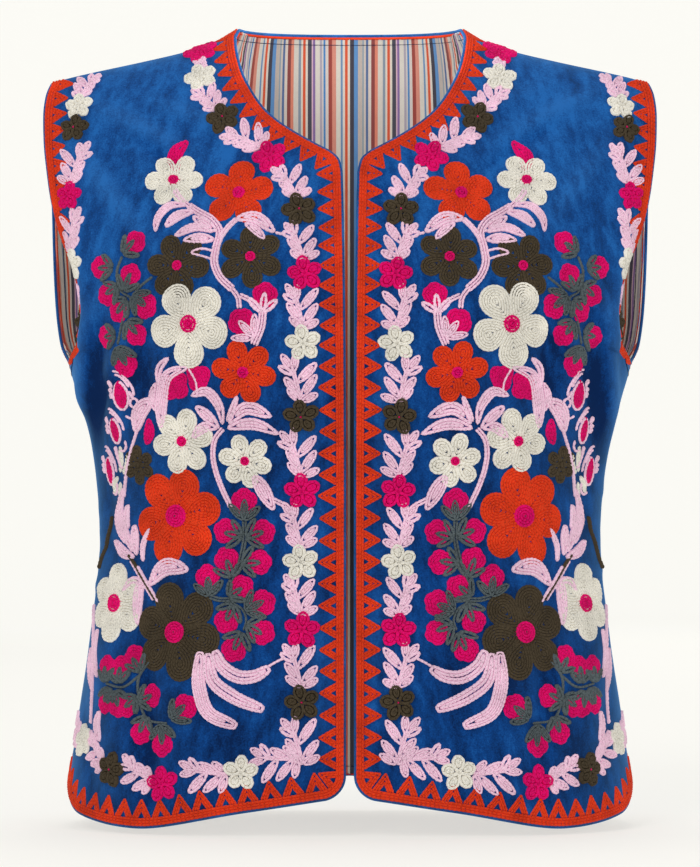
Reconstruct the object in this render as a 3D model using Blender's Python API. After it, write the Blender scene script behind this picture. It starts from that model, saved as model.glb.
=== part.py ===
"""A collarless waistcoat of blue velvet with a striped lining, worn open and filled out.

Two fronts and one back are cut in velvet, and each has a lining panel of its own just inside it.
The waistcoat stands as a wearer's shoulders hold it: +Z is up, the fronts face -Y, and the wearer's
left is +X. The origin lies midway between the two points where the neck meets the shoulder seams.

The form is worked out in three steps.
  1. A ring round the body at each height is a superellipse. Its half width and its depth come from
     short tables, and its depth falls to nothing at the shoulder ridge.
  2. A panel's edges are curves in the front view: front edge, neckline, shoulder, armhole, side seam.
  3. Rows run between the inner and the outer edge, and soft folds are moved out along the normals.
Lengths in the tables are millimetres; the meshes are in metres.
"""

import bmesh
import bpy
import numpy as np

MM = 0.001

VELVET_WALL = 1.8  # velvet with its backing and the yarn sewn through it
LINING_WALL = 0.9
LAYER_GAP = 0.5  # air between the velvet and the lining
SEAM_GAP = 0.3  # between two panels that are sewn edge to edge
LINING_INSET = 4.0  # how far the lining stops short of an open edge

ROUNDNESS = 2.2  # exponent of the superellipse round the body
TURN_HEIGHT = 190.0  # the drop below the ridge over which a panel turns from flat to upright
TURN_POWER = 1.15  # over 1, so the top of the shoulder is a soft ridge and not a dome

FRONT_COLUMNS, BACK_COLUMNS, ROWS = 16, 28, 30
FRONT_CROWDING = 1.4  # over 1 crowds the columns of a front towards its inner edge


def columns(names, rows):
    """A short table as a dict of arrays, one for each named column."""
    return dict(zip(names.split(), np.array(rows, float).T))


# The shoulder line seen from the front. Under the neck it runs on over a crown that is cut away.
RIDGE = columns(
    "x z",
    [(-20, 24.4), (0, 26), (20, 24.4), (40, 19.5), (60, 11.4), (80, 0), (99, -10.8), (122, -17.5), (150, -24),
     (187, -32), (204, -36), (222, -41.5), (245, -50)],
)
# Half width of the body's ring at each height. Below the underarm it is the side seam's; above it the
# ring lies past the armhole edges, which are cut out of it.
WIDTH = columns(
    "z front back",
    [(-570, 208, 208), (-541, 203, 203), (-518, 199.5, 199.5), (-483, 194.3, 194.3), (-466, 191.6, 191.6),
     (-440, 187.6, 187.6), (-422, 184.7, 184.7), (-396, 181.6, 181.6), (-375, 180.8, 180.8),
     (-353, 181.3, 181.3), (-327, 183.4, 183.4), (-301, 187, 187), (-284, 191, 191), (-266, 196.6, 196.6),
     (-244, 202.6, 202.6), (-236, 203.5, 211.5), (-230, 204.3, 217), (-220, 205.8, 223), (-207, 208, 228),
     (-180, 215, 232.5), (-155, 223, 237), (-130, 231, 240), (-105, 237, 242), (-82, 241, 243), (-60, 242, 242),
     (-40, 240, 240), (0, 234, 234)],
)
# How far the ring stands forward and back of the side seams at the centre line, before the shoulder's turn.
DEPTH = columns(
    "z front back",
    [(-560, 127, 118), (-500, 124, 110), (-450, 120, 101), (-400, 117, 94), (-350, 117, 92), (-300, 121, 98),
     (-250, 126, 107), (-210, 127, 113), (-170, 121, 116), (-130, 109, 116), (-100, 99, 116), (-60, 87, 119),
     (-30, 80, 126), (0, 76, 141)],
)
# The edge of a front: straight from the hem, then round the neck to the shoulder seam.
FRONT_EDGE = columns("x z", [(3.6, -547), (6.3, -107)])
NECKLINE = columns(
    "x z",
    [(6.3, -107), (8.3, -99), (13.5, -94), (23, -88.5), (37, -80.5), (51.5, -70.5), (61.5, -61), (70, -48.5),
     (77.5, -33), (81.5, -17), (82.6, -7), (80, 0)],
)
SIDE_SEAM_FOOT = -541.0
# The armhole edges, from the underarm to the tip of the shoulder.
FRONT_ARMHOLE = columns(
    "x z",
    [(202.6, -244), (201.6, -242), (199.9, -238.5), (197.9, -235), (194.4, -225), (192, -207), (195.5, -180),
     (205, -155), (213.5, -130), (217.7, -105), (220.3, -82), (221, -63), (219.8, -50), (216.5, -40)],
)
BACK_ARMHOLE = columns(
    "x z",
    [(202.6, -244), (204.5, -241.5), (208.3, -236), (211.3, -229.5), (213.6, -219), (215.5, -205),
     (217.2, -180), (218.2, -155), (218.7, -130), (219.6, -105), (220.8, -82), (221, -63), (219.8, -50),
     (216.5, -40)],
)
ARMHOLE_CROWDING = 0.7  # crowds the rows towards both ends of an armhole edge, where it turns most
BACK_CENTRE_FOOT, BACK_NECK_HEIGHT = -549.0, 1.0
NECK_X = 80.0  # where the neckline meets the shoulder seam
NECK_COLUMN = 0.4  # the share of the back's half width that ends under the neck at the top row

# How far the hem hangs below a straight line from the centre to the side seam.
HEM = columns("share front back", [(0, 0, 0), (0.2, 12, 3), (0.5, 27, 8), (0.75, 22, 7), (1, 0, 0)])
HEM_FADE = 130.0  # the hem's curve dies away over this height
HEM_CORNER = 15.0  # the rounded corner at the foot of each front edge

# The row share at which the straight front edge ends, and at which the side seam ends.
NECKLINE_FROM, ARMHOLE_FROM = 0.735, 0.575
LEVEL_BELOW, LEVEL_FADE = 0.45, 0.4  # rows are level below this share, and follow the ridge that much higher

# Soft folds that stand out from a panel: where they are in the front view, their half length and half
# width, their height, and how far they lean outwards from upright, in degrees.
FRONT_FOLDS = columns(
    "x z half_length half_width height lean",
    [(86, -228, 62, 52, 7, 0), (112, -500, 95, 30, 5, -4), (172, -455, 90, 15, 4, 6), (45, -520, 70, 20, 3, 3),
     (182, -285, 52, 13, 3.5, -12), (135, -118, 62, 14, 3, 24)],
)
BACK_FOLDS = columns(
    "x z half_length half_width height lean",
    [(95, -160, 70, 45, 5, 0), (118, -495, 95, 26, 5, -3), (45, -505, 85, 20, 4, 2), (172, -450, 85, 15, 4, 6),
     (60, -350, 50, 16, 3, 8), (184, -290, 48, 13, 3, -10)],
)
SEAM_FADE = 0.15  # folds die away over this share of a panel beside its side seam

PANEL_COLOURS = {
    "velvet": ((0.012, 0.105, 0.380, 1), 0.85),
    "lining": ((0.560, 0.500, 0.470, 1), 0.75),
}


def smooth(x, xs, ys):
    """A smooth curve through the points (xs, ys) that never overshoots them: cubic pieces, whose slope at
    a point is the harmonic mean of the slopes beside it, or 0 at a peak. It runs on straight past its ends."""
    step = np.diff(xs)
    rise = np.diff(ys) / step
    same_way = rise[:-1] * rise[1:] > 0
    between = np.where(same_way, 2 * rise[:-1] * rise[1:] / np.where(same_way, rise[:-1] + rise[1:], 1), 0)
    slope = np.concatenate([rise[:1], between, rise[-1:]])
    x = np.asarray(x, float)
    held = np.clip(x, xs[0], xs[-1])
    i = np.clip(np.searchsorted(xs, held, side="right") - 1, 0, len(xs) - 2)
    t = (held - xs[i]) / step[i]
    inside = (
        ys[i] * (1 + 2 * t) * (1 - t) ** 2
        + slope[i] * step[i] * t * (1 - t) ** 2
        + ys[i + 1] * t**2 * (3 - 2 * t)
        - slope[i + 1] * step[i] * t**2 * (1 - t)
    )
    return inside + np.where(x < xs[0], slope[0], slope[-1]) * (x - held)


def eased(t):
    """0 below 0 and 1 above 1, with a smooth rise between."""
    t = np.clip(t, 0, 1)
    return t * t * (3 - 2 * t)


def ridge(x):
    """Height of the shoulder line at x."""
    return smooth(np.abs(x), RIDGE["x"], RIDGE["z"])


for armhole in (FRONT_ARMHOLE, BACK_ARMHOLE):
    armhole["z"][-1] = ridge(armhole["x"][-1])  # the tip of the shoulder is on the ridge


def turn_at(drop):
    """The angle by which a panel has turned over the shoulder, that far below the ridge. It runs on
    past a right angle, where the panel hangs upright."""
    share = np.maximum(drop, 0) / TURN_HEIGHT
    return np.arccos(1 - np.minimum(share, 1)) + np.maximum(share - 1, 0)


def drop_at(turn):
    """The reverse of turn_at."""
    upright = np.pi / 2
    return TURN_HEIGHT * (1 - np.cos(np.minimum(turn, upright)) + np.maximum(turn - upright, 0))


def half_width(z, side):
    return smooth(z, WIDTH["z"], WIDTH[side])


def across(angle):
    """Sideways share of the superellipse at an angle from its middle."""
    return np.abs(np.sin(angle)) ** (2 / ROUNDNESS)


def angle_at(x, z, side):
    """The angle round the ring at which the body has that half width."""
    return np.arcsin(np.clip(x / half_width(z, side), 0, 1) ** (ROUNDNESS / 2))


def body_point(angle, z, side):
    """A point of the body's form, with x and y as lengths from its middle planes."""
    x = half_width(z, side) * across(angle)
    reach = np.sin(np.clip(turn_at(ridge(x) - z), 0, np.pi / 2)) ** TURN_POWER
    forward = np.maximum(np.cos(angle), 0) ** (2 / ROUNDNESS)
    return x, smooth(z, DEPTH["z"], DEPTH[side]) * forward * reach + SEAM_GAP / 2, z


def along_table(table, share):
    """x and z at a share of the way along a table's points, counted by length in the front view."""
    length = np.concatenate([[0], np.cumsum(np.hypot(np.diff(table["x"]), np.diff(table["z"])))])
    return np.stack([smooth(share * length[-1], length, table[name]) for name in ("x", "z")])


def two_stretches(v, first, second, turning):
    """An edge curve made of two: the first up to the row share turning, and the second above it."""
    low, high = first(np.clip(v / turning, 0, 1)), second(np.clip((v - turning) / (1 - turning), 0, 1))
    return np.where(v <= turning, low, high)


def front_inner_edge(v):
    """The front edge and then the neckline."""
    return two_stretches(
        v, lambda t: along_table(FRONT_EDGE, t), lambda t: along_table(NECKLINE, t), NECKLINE_FROM
    )


def outer_edge(v, armhole, side):
    """The side seam and then an armhole edge."""

    def seam(t):
        z = SIDE_SEAM_FOOT + (armhole["z"][0] - SIDE_SEAM_FOOT) * t
        return np.stack([half_width(z, side), z])

    def round_arm(t):
        return along_table(armhole, t - ARMHOLE_CROWDING * np.sin(2 * np.pi * t) / (2 * np.pi))

    return two_stretches(v, seam, round_arm, ARMHOLE_FROM)


def row_point(angle, heights, drops, share, drop_share, v, side):
    """A point at an angle and a share of the way along its row. Low rows run straight from edge to edge;
    high rows keep to a share of the drop below the ridge. The height depends on x and x on the height,
    so the two are worked out in turn until they agree."""
    level = heights[0] + (heights[1] - heights[0]) * share
    turn = turn_at(drops[0]) + (turn_at(drops[1]) - turn_at(drops[0])) * drop_share
    follow = eased((v - LEVEL_BELOW) / LEVEL_FADE)
    z = level
    for _ in range(6):
        x = half_width(z, side) * across(angle)
        z = level * (1 - follow) + (ridge(x) - drop_at(turn)) * follow
    return body_point(angle, z - hem_hang(x, level, share, side), side)


def hem_hang(x, level, share, side):
    """How far the hem's curve pulls a point down, at a share of the way to the side seam."""
    foot = {"front": FRONT_EDGE["z"][0], "back": BACK_CENTRE_FOOT}[side]
    hang = smooth(share, HEM["share"], HEM[side]) * (1 - eased((level - foot) / HEM_FADE))
    if side == "front":
        # The corner at the foot of the front edge is lifted to a quarter round.
        near = np.clip(1 - (x - FRONT_EDGE["x"][0]) / HEM_CORNER, 0, 1)
        hang = hang - HEM_CORNER * (1 - np.sqrt(1 - near**2)) * (1 - eased((level - foot) / HEM_CORNER / 2))
    return hang


def front_base(u, v):
    """A point of the wearer's left front: u runs from the inner to the outer edge, v from hem to shoulder."""
    (x_in, z_in), (x_out, z_out) = front_inner_edge(v), outer_edge(v, FRONT_ARMHOLE, "front")
    inner, outer = angle_at(x_in, z_in, "front"), angle_at(x_out, z_out, "front")
    drops = ridge(x_in) - z_in, ridge(x_out) - z_out
    x, y, z = row_point(inner + (outer - inner) * u, (z_in, z_out), drops, u, u, v, "front")
    return x, -y, z


def back_base(u, v):
    """A point of the back: u runs from -1 at the wearer's right edge to 1 at the left, v from hem to top."""
    share, (x_out, z_out) = np.abs(u), outer_edge(v, BACK_ARMHOLE, "back")
    z_in = BACK_CENTRE_FOOT + (BACK_NECK_HEIGHT - BACK_CENTRE_FOOT) * v
    outer = angle_at(x_out, z_out, "back")
    # One column ends just where the neck meets the shoulder, and runs straight down the back from there.
    under_neck = outer * NECK_COLUMN + (angle_at(NECK_X, 0, "back") - outer * NECK_COLUMN) * eased(v)
    angle = np.where(
        share <= NECK_COLUMN,
        under_neck * share / NECK_COLUMN,
        under_neck + (outer - under_neck) * (share - NECK_COLUMN) / (1 - NECK_COLUMN),
    )
    # The top row is the neck edge up to NECK_X, and past it the ridge.
    neck_x = np.minimum(half_width(0, "back") * across(angle), NECK_X)
    neck_drop = ridge(neck_x) - BACK_NECK_HEIGHT * (1 - (neck_x / NECK_X) ** 2)
    neck_share = 1 - turn_at(neck_drop) / turn_at(ridge(0) - BACK_NECK_HEIGHT)
    drop_share = share + (neck_share - share) * eased((v - 0.7) / 0.3)
    drops = ridge(0) - z_in, ridge(x_out) - z_out
    x, y, z = row_point(angle, (z_in, z_out), drops, share, drop_share, v, "back")
    return np.sign(u) * x, y, z


def fold_height(folds, x, z):
    """The soft folds: each is a bell across its width and along its length, on a leaning line."""
    height = np.zeros_like(x)
    for fold_x, fold_z, half_length, half_fold, peak, lean in zip(*folds.values()):
        lean = np.radians(lean)
        along = (x - fold_x) * np.sin(lean) + (z - fold_z) * np.cos(lean)
        beside = (x - fold_x) * np.cos(lean) - (z - fold_z) * np.sin(lean)
        height += peak * np.exp(-((along / half_length) ** 2) - (beside / half_fold) ** 2)
    return height


def moved_out(base, folds, u, v, distance):
    """Points of a panel, folds included, moved out along its normals. The normal is the cross product
    of two short steps on the panel; at a seam it is turned to lie in the seam's plane."""
    tiny, lowest = 1e-3, (0 if base is front_base else -1)

    def at(du, dv):
        return np.stack(base(np.clip(u + du, lowest, 1), np.clip(v + dv, 0, 1)), axis=-1)

    point = at(0, 0)
    normal = np.cross(at(tiny, 0) - at(-tiny, 0), at(0, tiny) - at(0, -tiny))
    if base is back_base:
        normal = -normal
    at_shoulder = (v >= 1) & ((base is front_base) | (np.abs(u) >= NECK_COLUMN - tiny))
    at_side = (np.abs(u) >= 1) & (v <= ARMHOLE_FROM + tiny)
    normal[..., 1] = np.where(at_shoulder | at_side, 0, normal[..., 1])
    normal /= np.linalg.norm(normal, axis=-1, keepdims=True)
    beside_seam = (1 - eased((1 - np.abs(u)) / SEAM_FADE)) * (1 - eased((v - ARMHOLE_FROM) / 0.12))
    height = fold_height(folds, np.abs(point[..., 0]), point[..., 2]) * eased((1 - v) / 0.06) * (1 - beside_seam)
    return (point + (height + distance)[..., None] * normal) * MM


def panel_grid(base):
    """The u and v of a panel's points. A column of the back ends just where the neck meets the shoulder."""
    if base is front_base:
        u = np.linspace(0, 1, FRONT_COLUMNS + 1) ** FRONT_CROWDING
    else:
        half = BACK_COLUMNS // 2
        under_neck = round(half * NECK_COLUMN)
        u = np.concatenate(
            [np.linspace(0, NECK_COLUMN, under_neck + 1), np.linspace(NECK_COLUMN, 1, half - under_neck + 1)[1:]]
        )
        u = np.concatenate([-u[:0:-1], u])
    return np.meshgrid(u, np.linspace(0, 1, ROWS + 1))


def drawn_in(points, base, u, v):
    """The points with each open edge drawn in along the panel: hem, front edge, neck and armholes."""
    points = points.copy()

    def draw(edge, beside, share):
        length = np.linalg.norm(points[beside] - points[edge], axis=-1, keepdims=True)
        points[edge] += (points[beside] - points[edge]) * share[:, None] * LINING_INSET * MM / length

    armhole = eased((v[:, 0] - ARMHOLE_FROM) / 0.03)
    draw(np.s_[:, -1], np.s_[:, -2], armhole)
    draw(np.s_[:, 0], np.s_[:, 1], np.ones(len(u)) if base is front_base else armhole)
    draw(np.s_[0], np.s_[1], np.ones(u.shape[1]))
    if base is back_base:
        draw(np.s_[-1], np.s_[-2], (np.abs(u[0]) < NECK_COLUMN).astype(float))
    return points


def triangles(points):
    """Two triangles for each cell of a grid of points, cut along the cell's shorter diagonal."""
    index = np.arange(points.shape[0] * points.shape[1]).reshape(points.shape[:2])
    a, b, c, d = index[:-1, :-1], index[:-1, 1:], index[1:, 1:], index[1:, :-1]
    flat = points.reshape(-1, 3)
    ac = np.linalg.norm(flat[a] - flat[c], axis=-1) < np.linalg.norm(flat[b] - flat[d], axis=-1)
    first = np.where(ac, [a, b, c], [a, b, d])
    second = np.where(ac, [a, c, d], [b, c, d])
    return np.concatenate([first.reshape(3, -1).T, second.reshape(3, -1).T])


def wall(name, outer, inner, faces, material, mirrored=False):
    """A closed wall between two grids of points, one node. The rim joins their borders."""
    rows, cols = outer.shape[:2]
    points = np.concatenate([outer.reshape(-1, 3), inner.reshape(-1, 3)])
    if mirrored:
        points = points * (-1, 1, 1)
    grid = np.arange(rows * cols).reshape(rows, cols)
    border = np.concatenate([grid[0], grid[1:, -1], grid[-1, -2::-1], grid[-2:0:-1, 0]])
    after, inside = np.roll(border, -1), rows * cols
    rim = np.stack([border, border + inside, after + inside, after], axis=-1)
    mesh = bpy.data.meshes.new(name)
    mesh.from_pydata(points.tolist(), [], faces.tolist() + (faces[:, ::-1] + inside).tolist() + rim.tolist())
    shape = bmesh.new()
    shape.from_mesh(mesh)
    bmesh.ops.recalc_face_normals(shape, faces=shape.faces)
    shape.to_mesh(mesh)
    shape.free()
    mesh.shade_smooth()
    mesh.set_sharp_from_angle(angle=np.radians(50))
    mesh.materials.append(material)
    panel = bpy.data.objects.new(name, mesh)
    bpy.context.scene.collection.objects.link(panel)
    return panel


def cloth_material(name):
    colour, roughness = PANEL_COLOURS[name]
    material = bpy.data.materials.new(name)
    material.use_nodes = True
    shader = material.node_tree.nodes["Principled BSDF"]
    shader.inputs["Base Color"].default_value = colour
    shader.inputs["Roughness"].default_value = roughness
    shader.inputs["Metallic"].default_value = 0
    return material


def make_panels():
    """Each panel is a layer of velvet and a layer of lining, which have one form and one grid of points."""
    velvet, lining = cloth_material("velvet"), cloth_material("lining")
    inside = -VELVET_WALL - LAYER_GAP
    for name, base, folds in (("front", front_base, FRONT_FOLDS), ("back", back_base, BACK_FOLDS)):
        u, v = panel_grid(base)
        outer, inner, lining_outer, lining_inner = (
            moved_out(base, folds, u, v, distance)
            for distance in (0, -VELVET_WALL, inside, inside - LINING_WALL)
        )
        lining_outer, lining_inner = (drawn_in(points, base, u, v) for points in (lining_outer, lining_inner))
        faces = triangles(outer)
        if name == "back":
            wall("back", outer, inner, faces, velvet)
            wall("lining_back", lining_outer, lining_inner, faces, lining)
            continue
        for side, mirrored in (("left", False), ("right", True)):
            wall(f"front_{side}", outer, inner, faces, velvet, mirrored)
            wall(f"lining_front_{side}", lining_outer, lining_inner, faces, lining, mirrored)


def main():
    for obj in list(bpy.data.objects):
        bpy.data.objects.remove(obj)
    make_panels()


if __name__ == "__main__":
    main()
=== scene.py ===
"""A blue velvet waistcoat, worked in chain stitch and lined with striped cotton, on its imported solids.

Every surface lies on one form, which is worked out from the garment's own measurements. A place on it
is given by an angle round the body and a course down the cloth, and stitches are laid there in real
millimetres. Lengths in the tables are millimetres; the meshes are in metres.
"""

import bpy
import numpy as np
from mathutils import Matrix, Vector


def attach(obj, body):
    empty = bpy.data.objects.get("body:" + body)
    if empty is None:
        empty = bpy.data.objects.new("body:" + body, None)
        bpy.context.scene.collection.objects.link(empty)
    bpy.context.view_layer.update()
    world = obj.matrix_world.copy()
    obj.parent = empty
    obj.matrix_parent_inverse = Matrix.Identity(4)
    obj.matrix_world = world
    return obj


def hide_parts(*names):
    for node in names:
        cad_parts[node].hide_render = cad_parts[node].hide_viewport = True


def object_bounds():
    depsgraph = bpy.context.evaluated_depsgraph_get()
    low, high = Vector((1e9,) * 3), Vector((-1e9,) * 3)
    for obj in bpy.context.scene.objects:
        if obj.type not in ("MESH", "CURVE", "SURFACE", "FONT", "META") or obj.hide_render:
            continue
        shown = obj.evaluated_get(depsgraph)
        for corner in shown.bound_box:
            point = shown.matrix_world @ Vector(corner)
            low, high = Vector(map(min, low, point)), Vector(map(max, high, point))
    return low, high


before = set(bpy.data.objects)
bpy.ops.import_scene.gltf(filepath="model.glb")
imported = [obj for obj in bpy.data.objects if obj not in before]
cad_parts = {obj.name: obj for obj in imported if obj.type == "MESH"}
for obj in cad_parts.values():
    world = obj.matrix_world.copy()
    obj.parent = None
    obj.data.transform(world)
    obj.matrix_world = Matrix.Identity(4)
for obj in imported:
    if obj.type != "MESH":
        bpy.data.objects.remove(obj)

bl_info = {
    "name": "Embroidered waistcoat",
    "version": (1, 0, 0),
    "blender": (4, 5, 0),
    "location": "3D View > Sidebar > Waistcoat",
    "description": "Velvet, lining and chain-stitch embroidery of a waistcoat",
    "category": "Object",
}

MM = 0.001
CAD_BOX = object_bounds()

# ---------------------------------------------------------------------------- the garment's measurements

VELVET_WALL, LINING_WALL, LAYER_GAP, LINING_INSET = 1.8, 0.9, 0.5, 1.3
SEAM_HALF_GAP = 0.15  # from the middle of a seam to the cloth's edge
SEAM_RADIUS = 0.8 * MM  # the folded cloth inside a seam, which fills that gap
ROUNDNESS = 2.2  # exponent of the superellipse round the body
TURN_HEIGHT, TURN_POWER = 190.0, 1.15  # how a panel turns over the shoulder


def columns(names, rows):
    """A short table as a dict of arrays, one for each named column."""
    return dict(zip(names.split(), np.array(rows, float).T))


RIDGE = columns(
    "x z",
    [(-20, 24.4), (0, 26), (20, 24.4), (40, 19.5), (60, 11.4), (80, 0), (99, -10.8), (122, -17.5), (150, -24),
     (187, -32), (204, -36), (222, -41.5), (245, -50)],
)
WIDTH = columns(
    "z front back",
    [(-570, 208, 208), (-541, 203, 203), (-518, 199.5, 199.5), (-483, 194.3, 194.3), (-466, 191.6, 191.6),
     (-440, 187.6, 187.6), (-422, 184.7, 184.7), (-396, 181.6, 181.6), (-375, 180.8, 180.8),
     (-353, 181.3, 181.3), (-327, 183.4, 183.4), (-301, 187, 187), (-284, 191, 191), (-266, 196.6, 196.6),
     (-244, 202.6, 202.6), (-236, 203.5, 211.5), (-230, 204.3, 217), (-220, 205.8, 223), (-207, 208, 228),
     (-180, 215, 232.5), (-155, 223, 237), (-130, 231, 240), (-105, 237, 242), (-82, 241, 243),
     (-60, 242, 242), (-40, 240, 240), (0, 234, 234)],
)
DEPTH = columns(
    "z front back",
    [(-560, 127, 118), (-500, 124, 110), (-450, 120, 101), (-400, 117, 94), (-350, 117, 92), (-300, 121, 98),
     (-250, 126, 107), (-210, 127, 113), (-170, 121, 116), (-130, 109, 116), (-100, 99, 116), (-60, 87, 119),
     (-30, 80, 126), (0, 76, 141)],
)
FRONT_EDGE = columns(
    "x z",
    [(3.1, -547), (3.0, -420), (3.0, -330), (3.2, -260), (3.7, -200), (4.4, -150), (5.0, -122), (5.4, -108)],
)
NECKLINE = columns(
    "x z",
    [(5.4, -108), (7.6, -99.5), (13.0, -94), (23, -88.5), (37, -80.5), (51.5, -70.5), (61.5, -61),
     (70, -48.5), (77.5, -33), (81.5, -17), (82.6, -7), (80, 0)],
)
FRONT_ARMHOLE = columns(
    "x z",
    [(202.6, -244), (201.6, -242), (199.9, -238.5), (197.9, -235), (194.4, -225), (192, -207), (195.5, -180),
     (205, -155), (213.5, -130), (217.7, -105), (220.3, -82), (221, -63), (219.8, -50), (216.5, -40)],
)
BACK_ARMHOLE = columns(
    "x z",
    [(202.6, -244), (204.5, -241.5), (208.3, -236), (211.3, -229.5), (213.6, -219), (215.5, -205),
     (217.2, -180), (218.2, -155), (218.7, -130), (219.6, -105), (220.8, -82), (221, -63), (219.8, -50),
     (216.5, -40)],
)
SIDE_SEAM_FOOT, BACK_CENTRE_FOOT, BACK_NECK_HEIGHT, NECK_X = -541.0, -549.0, 1.0, 80.0
HEM = columns("share front back", [(0, 0, 0), (0.2, 12, 3), (0.5, 27, 8), (0.75, 22, 7), (1, 0, 0)])
HEM_FADE, HEM_CORNER = 130.0, 15.0
NECKLINE_FROM, ARMHOLE_FROM = 0.735, 0.575  # row shares where the front edge and the side seam end
NECK_SWAY_FROM = 0.7  # the row share from which the back's rows bend to follow its neck
UNDERARM = -244.0

# Soft folds and creases that stand out from the cloth: where, half length, half width, height and lean.
# A negative height is a trough.
FRONT_FOLDS = columns(
    "x z half_length half_width height lean",
    [(86, -228, 62, 52, 7, 0), (112, -500, 95, 30, 5, -4), (172, -455, 90, 15, 4, 6),
     (45, -520, 70, 20, 3, 3), (182, -285, 52, 13, 3.5, -12), (135, -118, 62, 14, 3, 24)],
)
BACK_FOLDS = columns(
    "x z half_length half_width height lean",
    [(95, -160, 70, 45, 5, 0), (118, -495, 95, 26, 5, -3), (45, -505, 85, 20, 4, 2),
     (172, -450, 85, 15, 4, 6), (60, -350, 50, 16, 3, 8), (184, -290, 48, 13, 3, -10)],
)
# The creases' heights also go into the velvet's colour: painted shade in troughs and a painted highlight on
# ridges.
FRONT_CREASES = columns(
    "x z half_length half_width height lean",
    [(150, -70, 42, 7, 1.8, 62), (128, -92, 40, 6, -1.3, 55), (166, -118, 44, 8, 1.7, 38),
     (108, -62, 30, 6, 1.2, 70), (186, -215, 34, 6, 1.6, -28), (172, -262, 38, 6, -1.5, -35),
     (160, -232, 32, 7, 1.3, -40), (178, -266, 46, 9, -7.0, -3), (190, -258, 36, 5, 3.4, -4),
     (144, -246, 26, 8, -3.0, 0), (170, -342, 22, 7, -2.6, 0), (186, -340, 26, 5, 1.4, 70),
     (176, -368, 24, 5, -1.2, 80), (180, -396, 28, 5, 1.3, 74), (140, -490, 60, 8, -1.8, 2),
     (78, -500, 64, 9, -1.8, -3), (186, -500, 55, 6, -1.5, 8), (28, -300, 60, 8, 1.2, 0),
     (20, -455, 55, 7, 1.1, 2), (30, -160, 36, 8, -1.0, -14)],
)
BACK_CREASES = columns(
    "x z half_length half_width height lean",
    [(-96, -74, 46, 9, 2.0, 62), (102, -82, 44, 9, 1.8, -60), (-60, -128, 52, 9, -1.5, 40),
     (66, -120, 50, 8, -1.4, -36), (-150, -190, 48, 9, 1.9, -24), (156, -200, 46, 8, 1.7, 22),
     (-20, -230, 80, 11, 1.6, 4), (24, -300, 70, 10, -1.6, -3), (-170, -300, 36, 7, -1.5, -62),
     (168, -320, 34, 7, 1.5, 60), (-172, -366, 30, 6, 1.6, -76), (174, -378, 30, 6, -1.4, 74),
     (-86, -372, 36, 8, 1.6, 70), (92, -384, 34, 8, 1.4, -66), (-10, -470, 90, 12, 2.2, 0),
     (-82, -500, 70, 10, -2.0, -3), (84, -510, 66, 9, 1.9, 3), (-150, -500, 60, 9, 2.0, 5),
     (150, -505, 60, 9, -1.9, -5)],
)


def cubic(at, xs, ys, slope):
    """Cubic pieces through the points (xs, ys), with these slopes there."""
    i = np.clip(np.searchsorted(xs, at, side="right") - 1, 0, len(xs) - 2)
    step = xs[i + 1] - xs[i]
    t = (at - xs[i]) / step
    return (
        ys[i] * (1 + 2 * t) * (1 - t) ** 2
        + slope[i] * step * t * (1 - t) ** 2
        + ys[i + 1] * t**2 * (3 - 2 * t)
        - slope[i + 1] * step * t**2 * (1 - t)
    )


def smooth(x, xs, ys):
    """A smooth curve through points that never overshoots them: its slope at a point is the harmonic mean
    of the slopes beside it, or 0 at a peak. Past its ends it is straight."""
    rise = np.diff(ys) / np.diff(xs)
    same_way = rise[:-1] * rise[1:] > 0
    between = np.where(same_way, 2 * rise[:-1] * rise[1:] / np.where(same_way, rise[:-1] + rise[1:], 1), 0)
    slope = np.concatenate([rise[:1], between, rise[-1:]])
    x = np.asarray(x, float)
    held = np.clip(x, xs[0], xs[-1])
    return cubic(held, xs, ys, slope) + np.where(x < xs[0], slope[0], slope[-1]) * (x - held)


def curve(at, xs, ys):
    """A smooth curve through points, whose slope at each is that of the chord between its neighbours."""
    return cubic(at, xs, ys, np.gradient(ys, xs))


def eased(t):
    """0 below 0 and 1 above 1, with a smooth rise between."""
    t = np.clip(t, 0, 1)
    return t * t * (3 - 2 * t)


def ridge(x):
    """Height of the shoulder line at x."""
    return smooth(np.abs(x), RIDGE["x"], RIDGE["z"])


for armhole in (FRONT_ARMHOLE, BACK_ARMHOLE):
    armhole["z"][-1] = ridge(armhole["x"][-1])  # the tip of the shoulder is on the ridge


def half_width(z, side):
    """Half of the garment's width at that height."""
    return smooth(z, WIDTH["z"], WIDTH[side])


def along_table(table, share):
    """x and z at a share of the way along a table's points, counted by length in the front view."""
    length = np.concatenate([[0], np.cumsum(np.hypot(np.diff(table["x"]), np.diff(table["z"])))])
    return np.stack([smooth(share * length[-1], length, table[name]) for name in ("x", "z")])


def two_stretches(v, first, second, turning):
    """An edge curve made of two: the first up to the row share turning, and the second above it."""
    low, high = first(np.clip(v / turning, 0, 1)), second(np.clip((v - turning) / (1 - turning), 0, 1))
    return np.where(v <= turning, low, high)


def bells(table, x, z):
    """Sum of a table's folds: each is a bell across its width and along its length, on a leaning line."""
    height = np.zeros_like(x)
    for at_x, at_z, half_length, half_fold, peak, lean in zip(*table.values()):
        lean = np.radians(lean)
        along = (x - at_x) * np.sin(lean) + (z - at_z) * np.cos(lean)
        beside = (x - at_x) * np.cos(lean) - (z - at_z) * np.sin(lean)
        height += peak * np.exp(-((along / half_length) ** 2) - (beside / half_fold) ** 2)
    return height


# ---------------------------------------------------------------------------- the form

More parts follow.
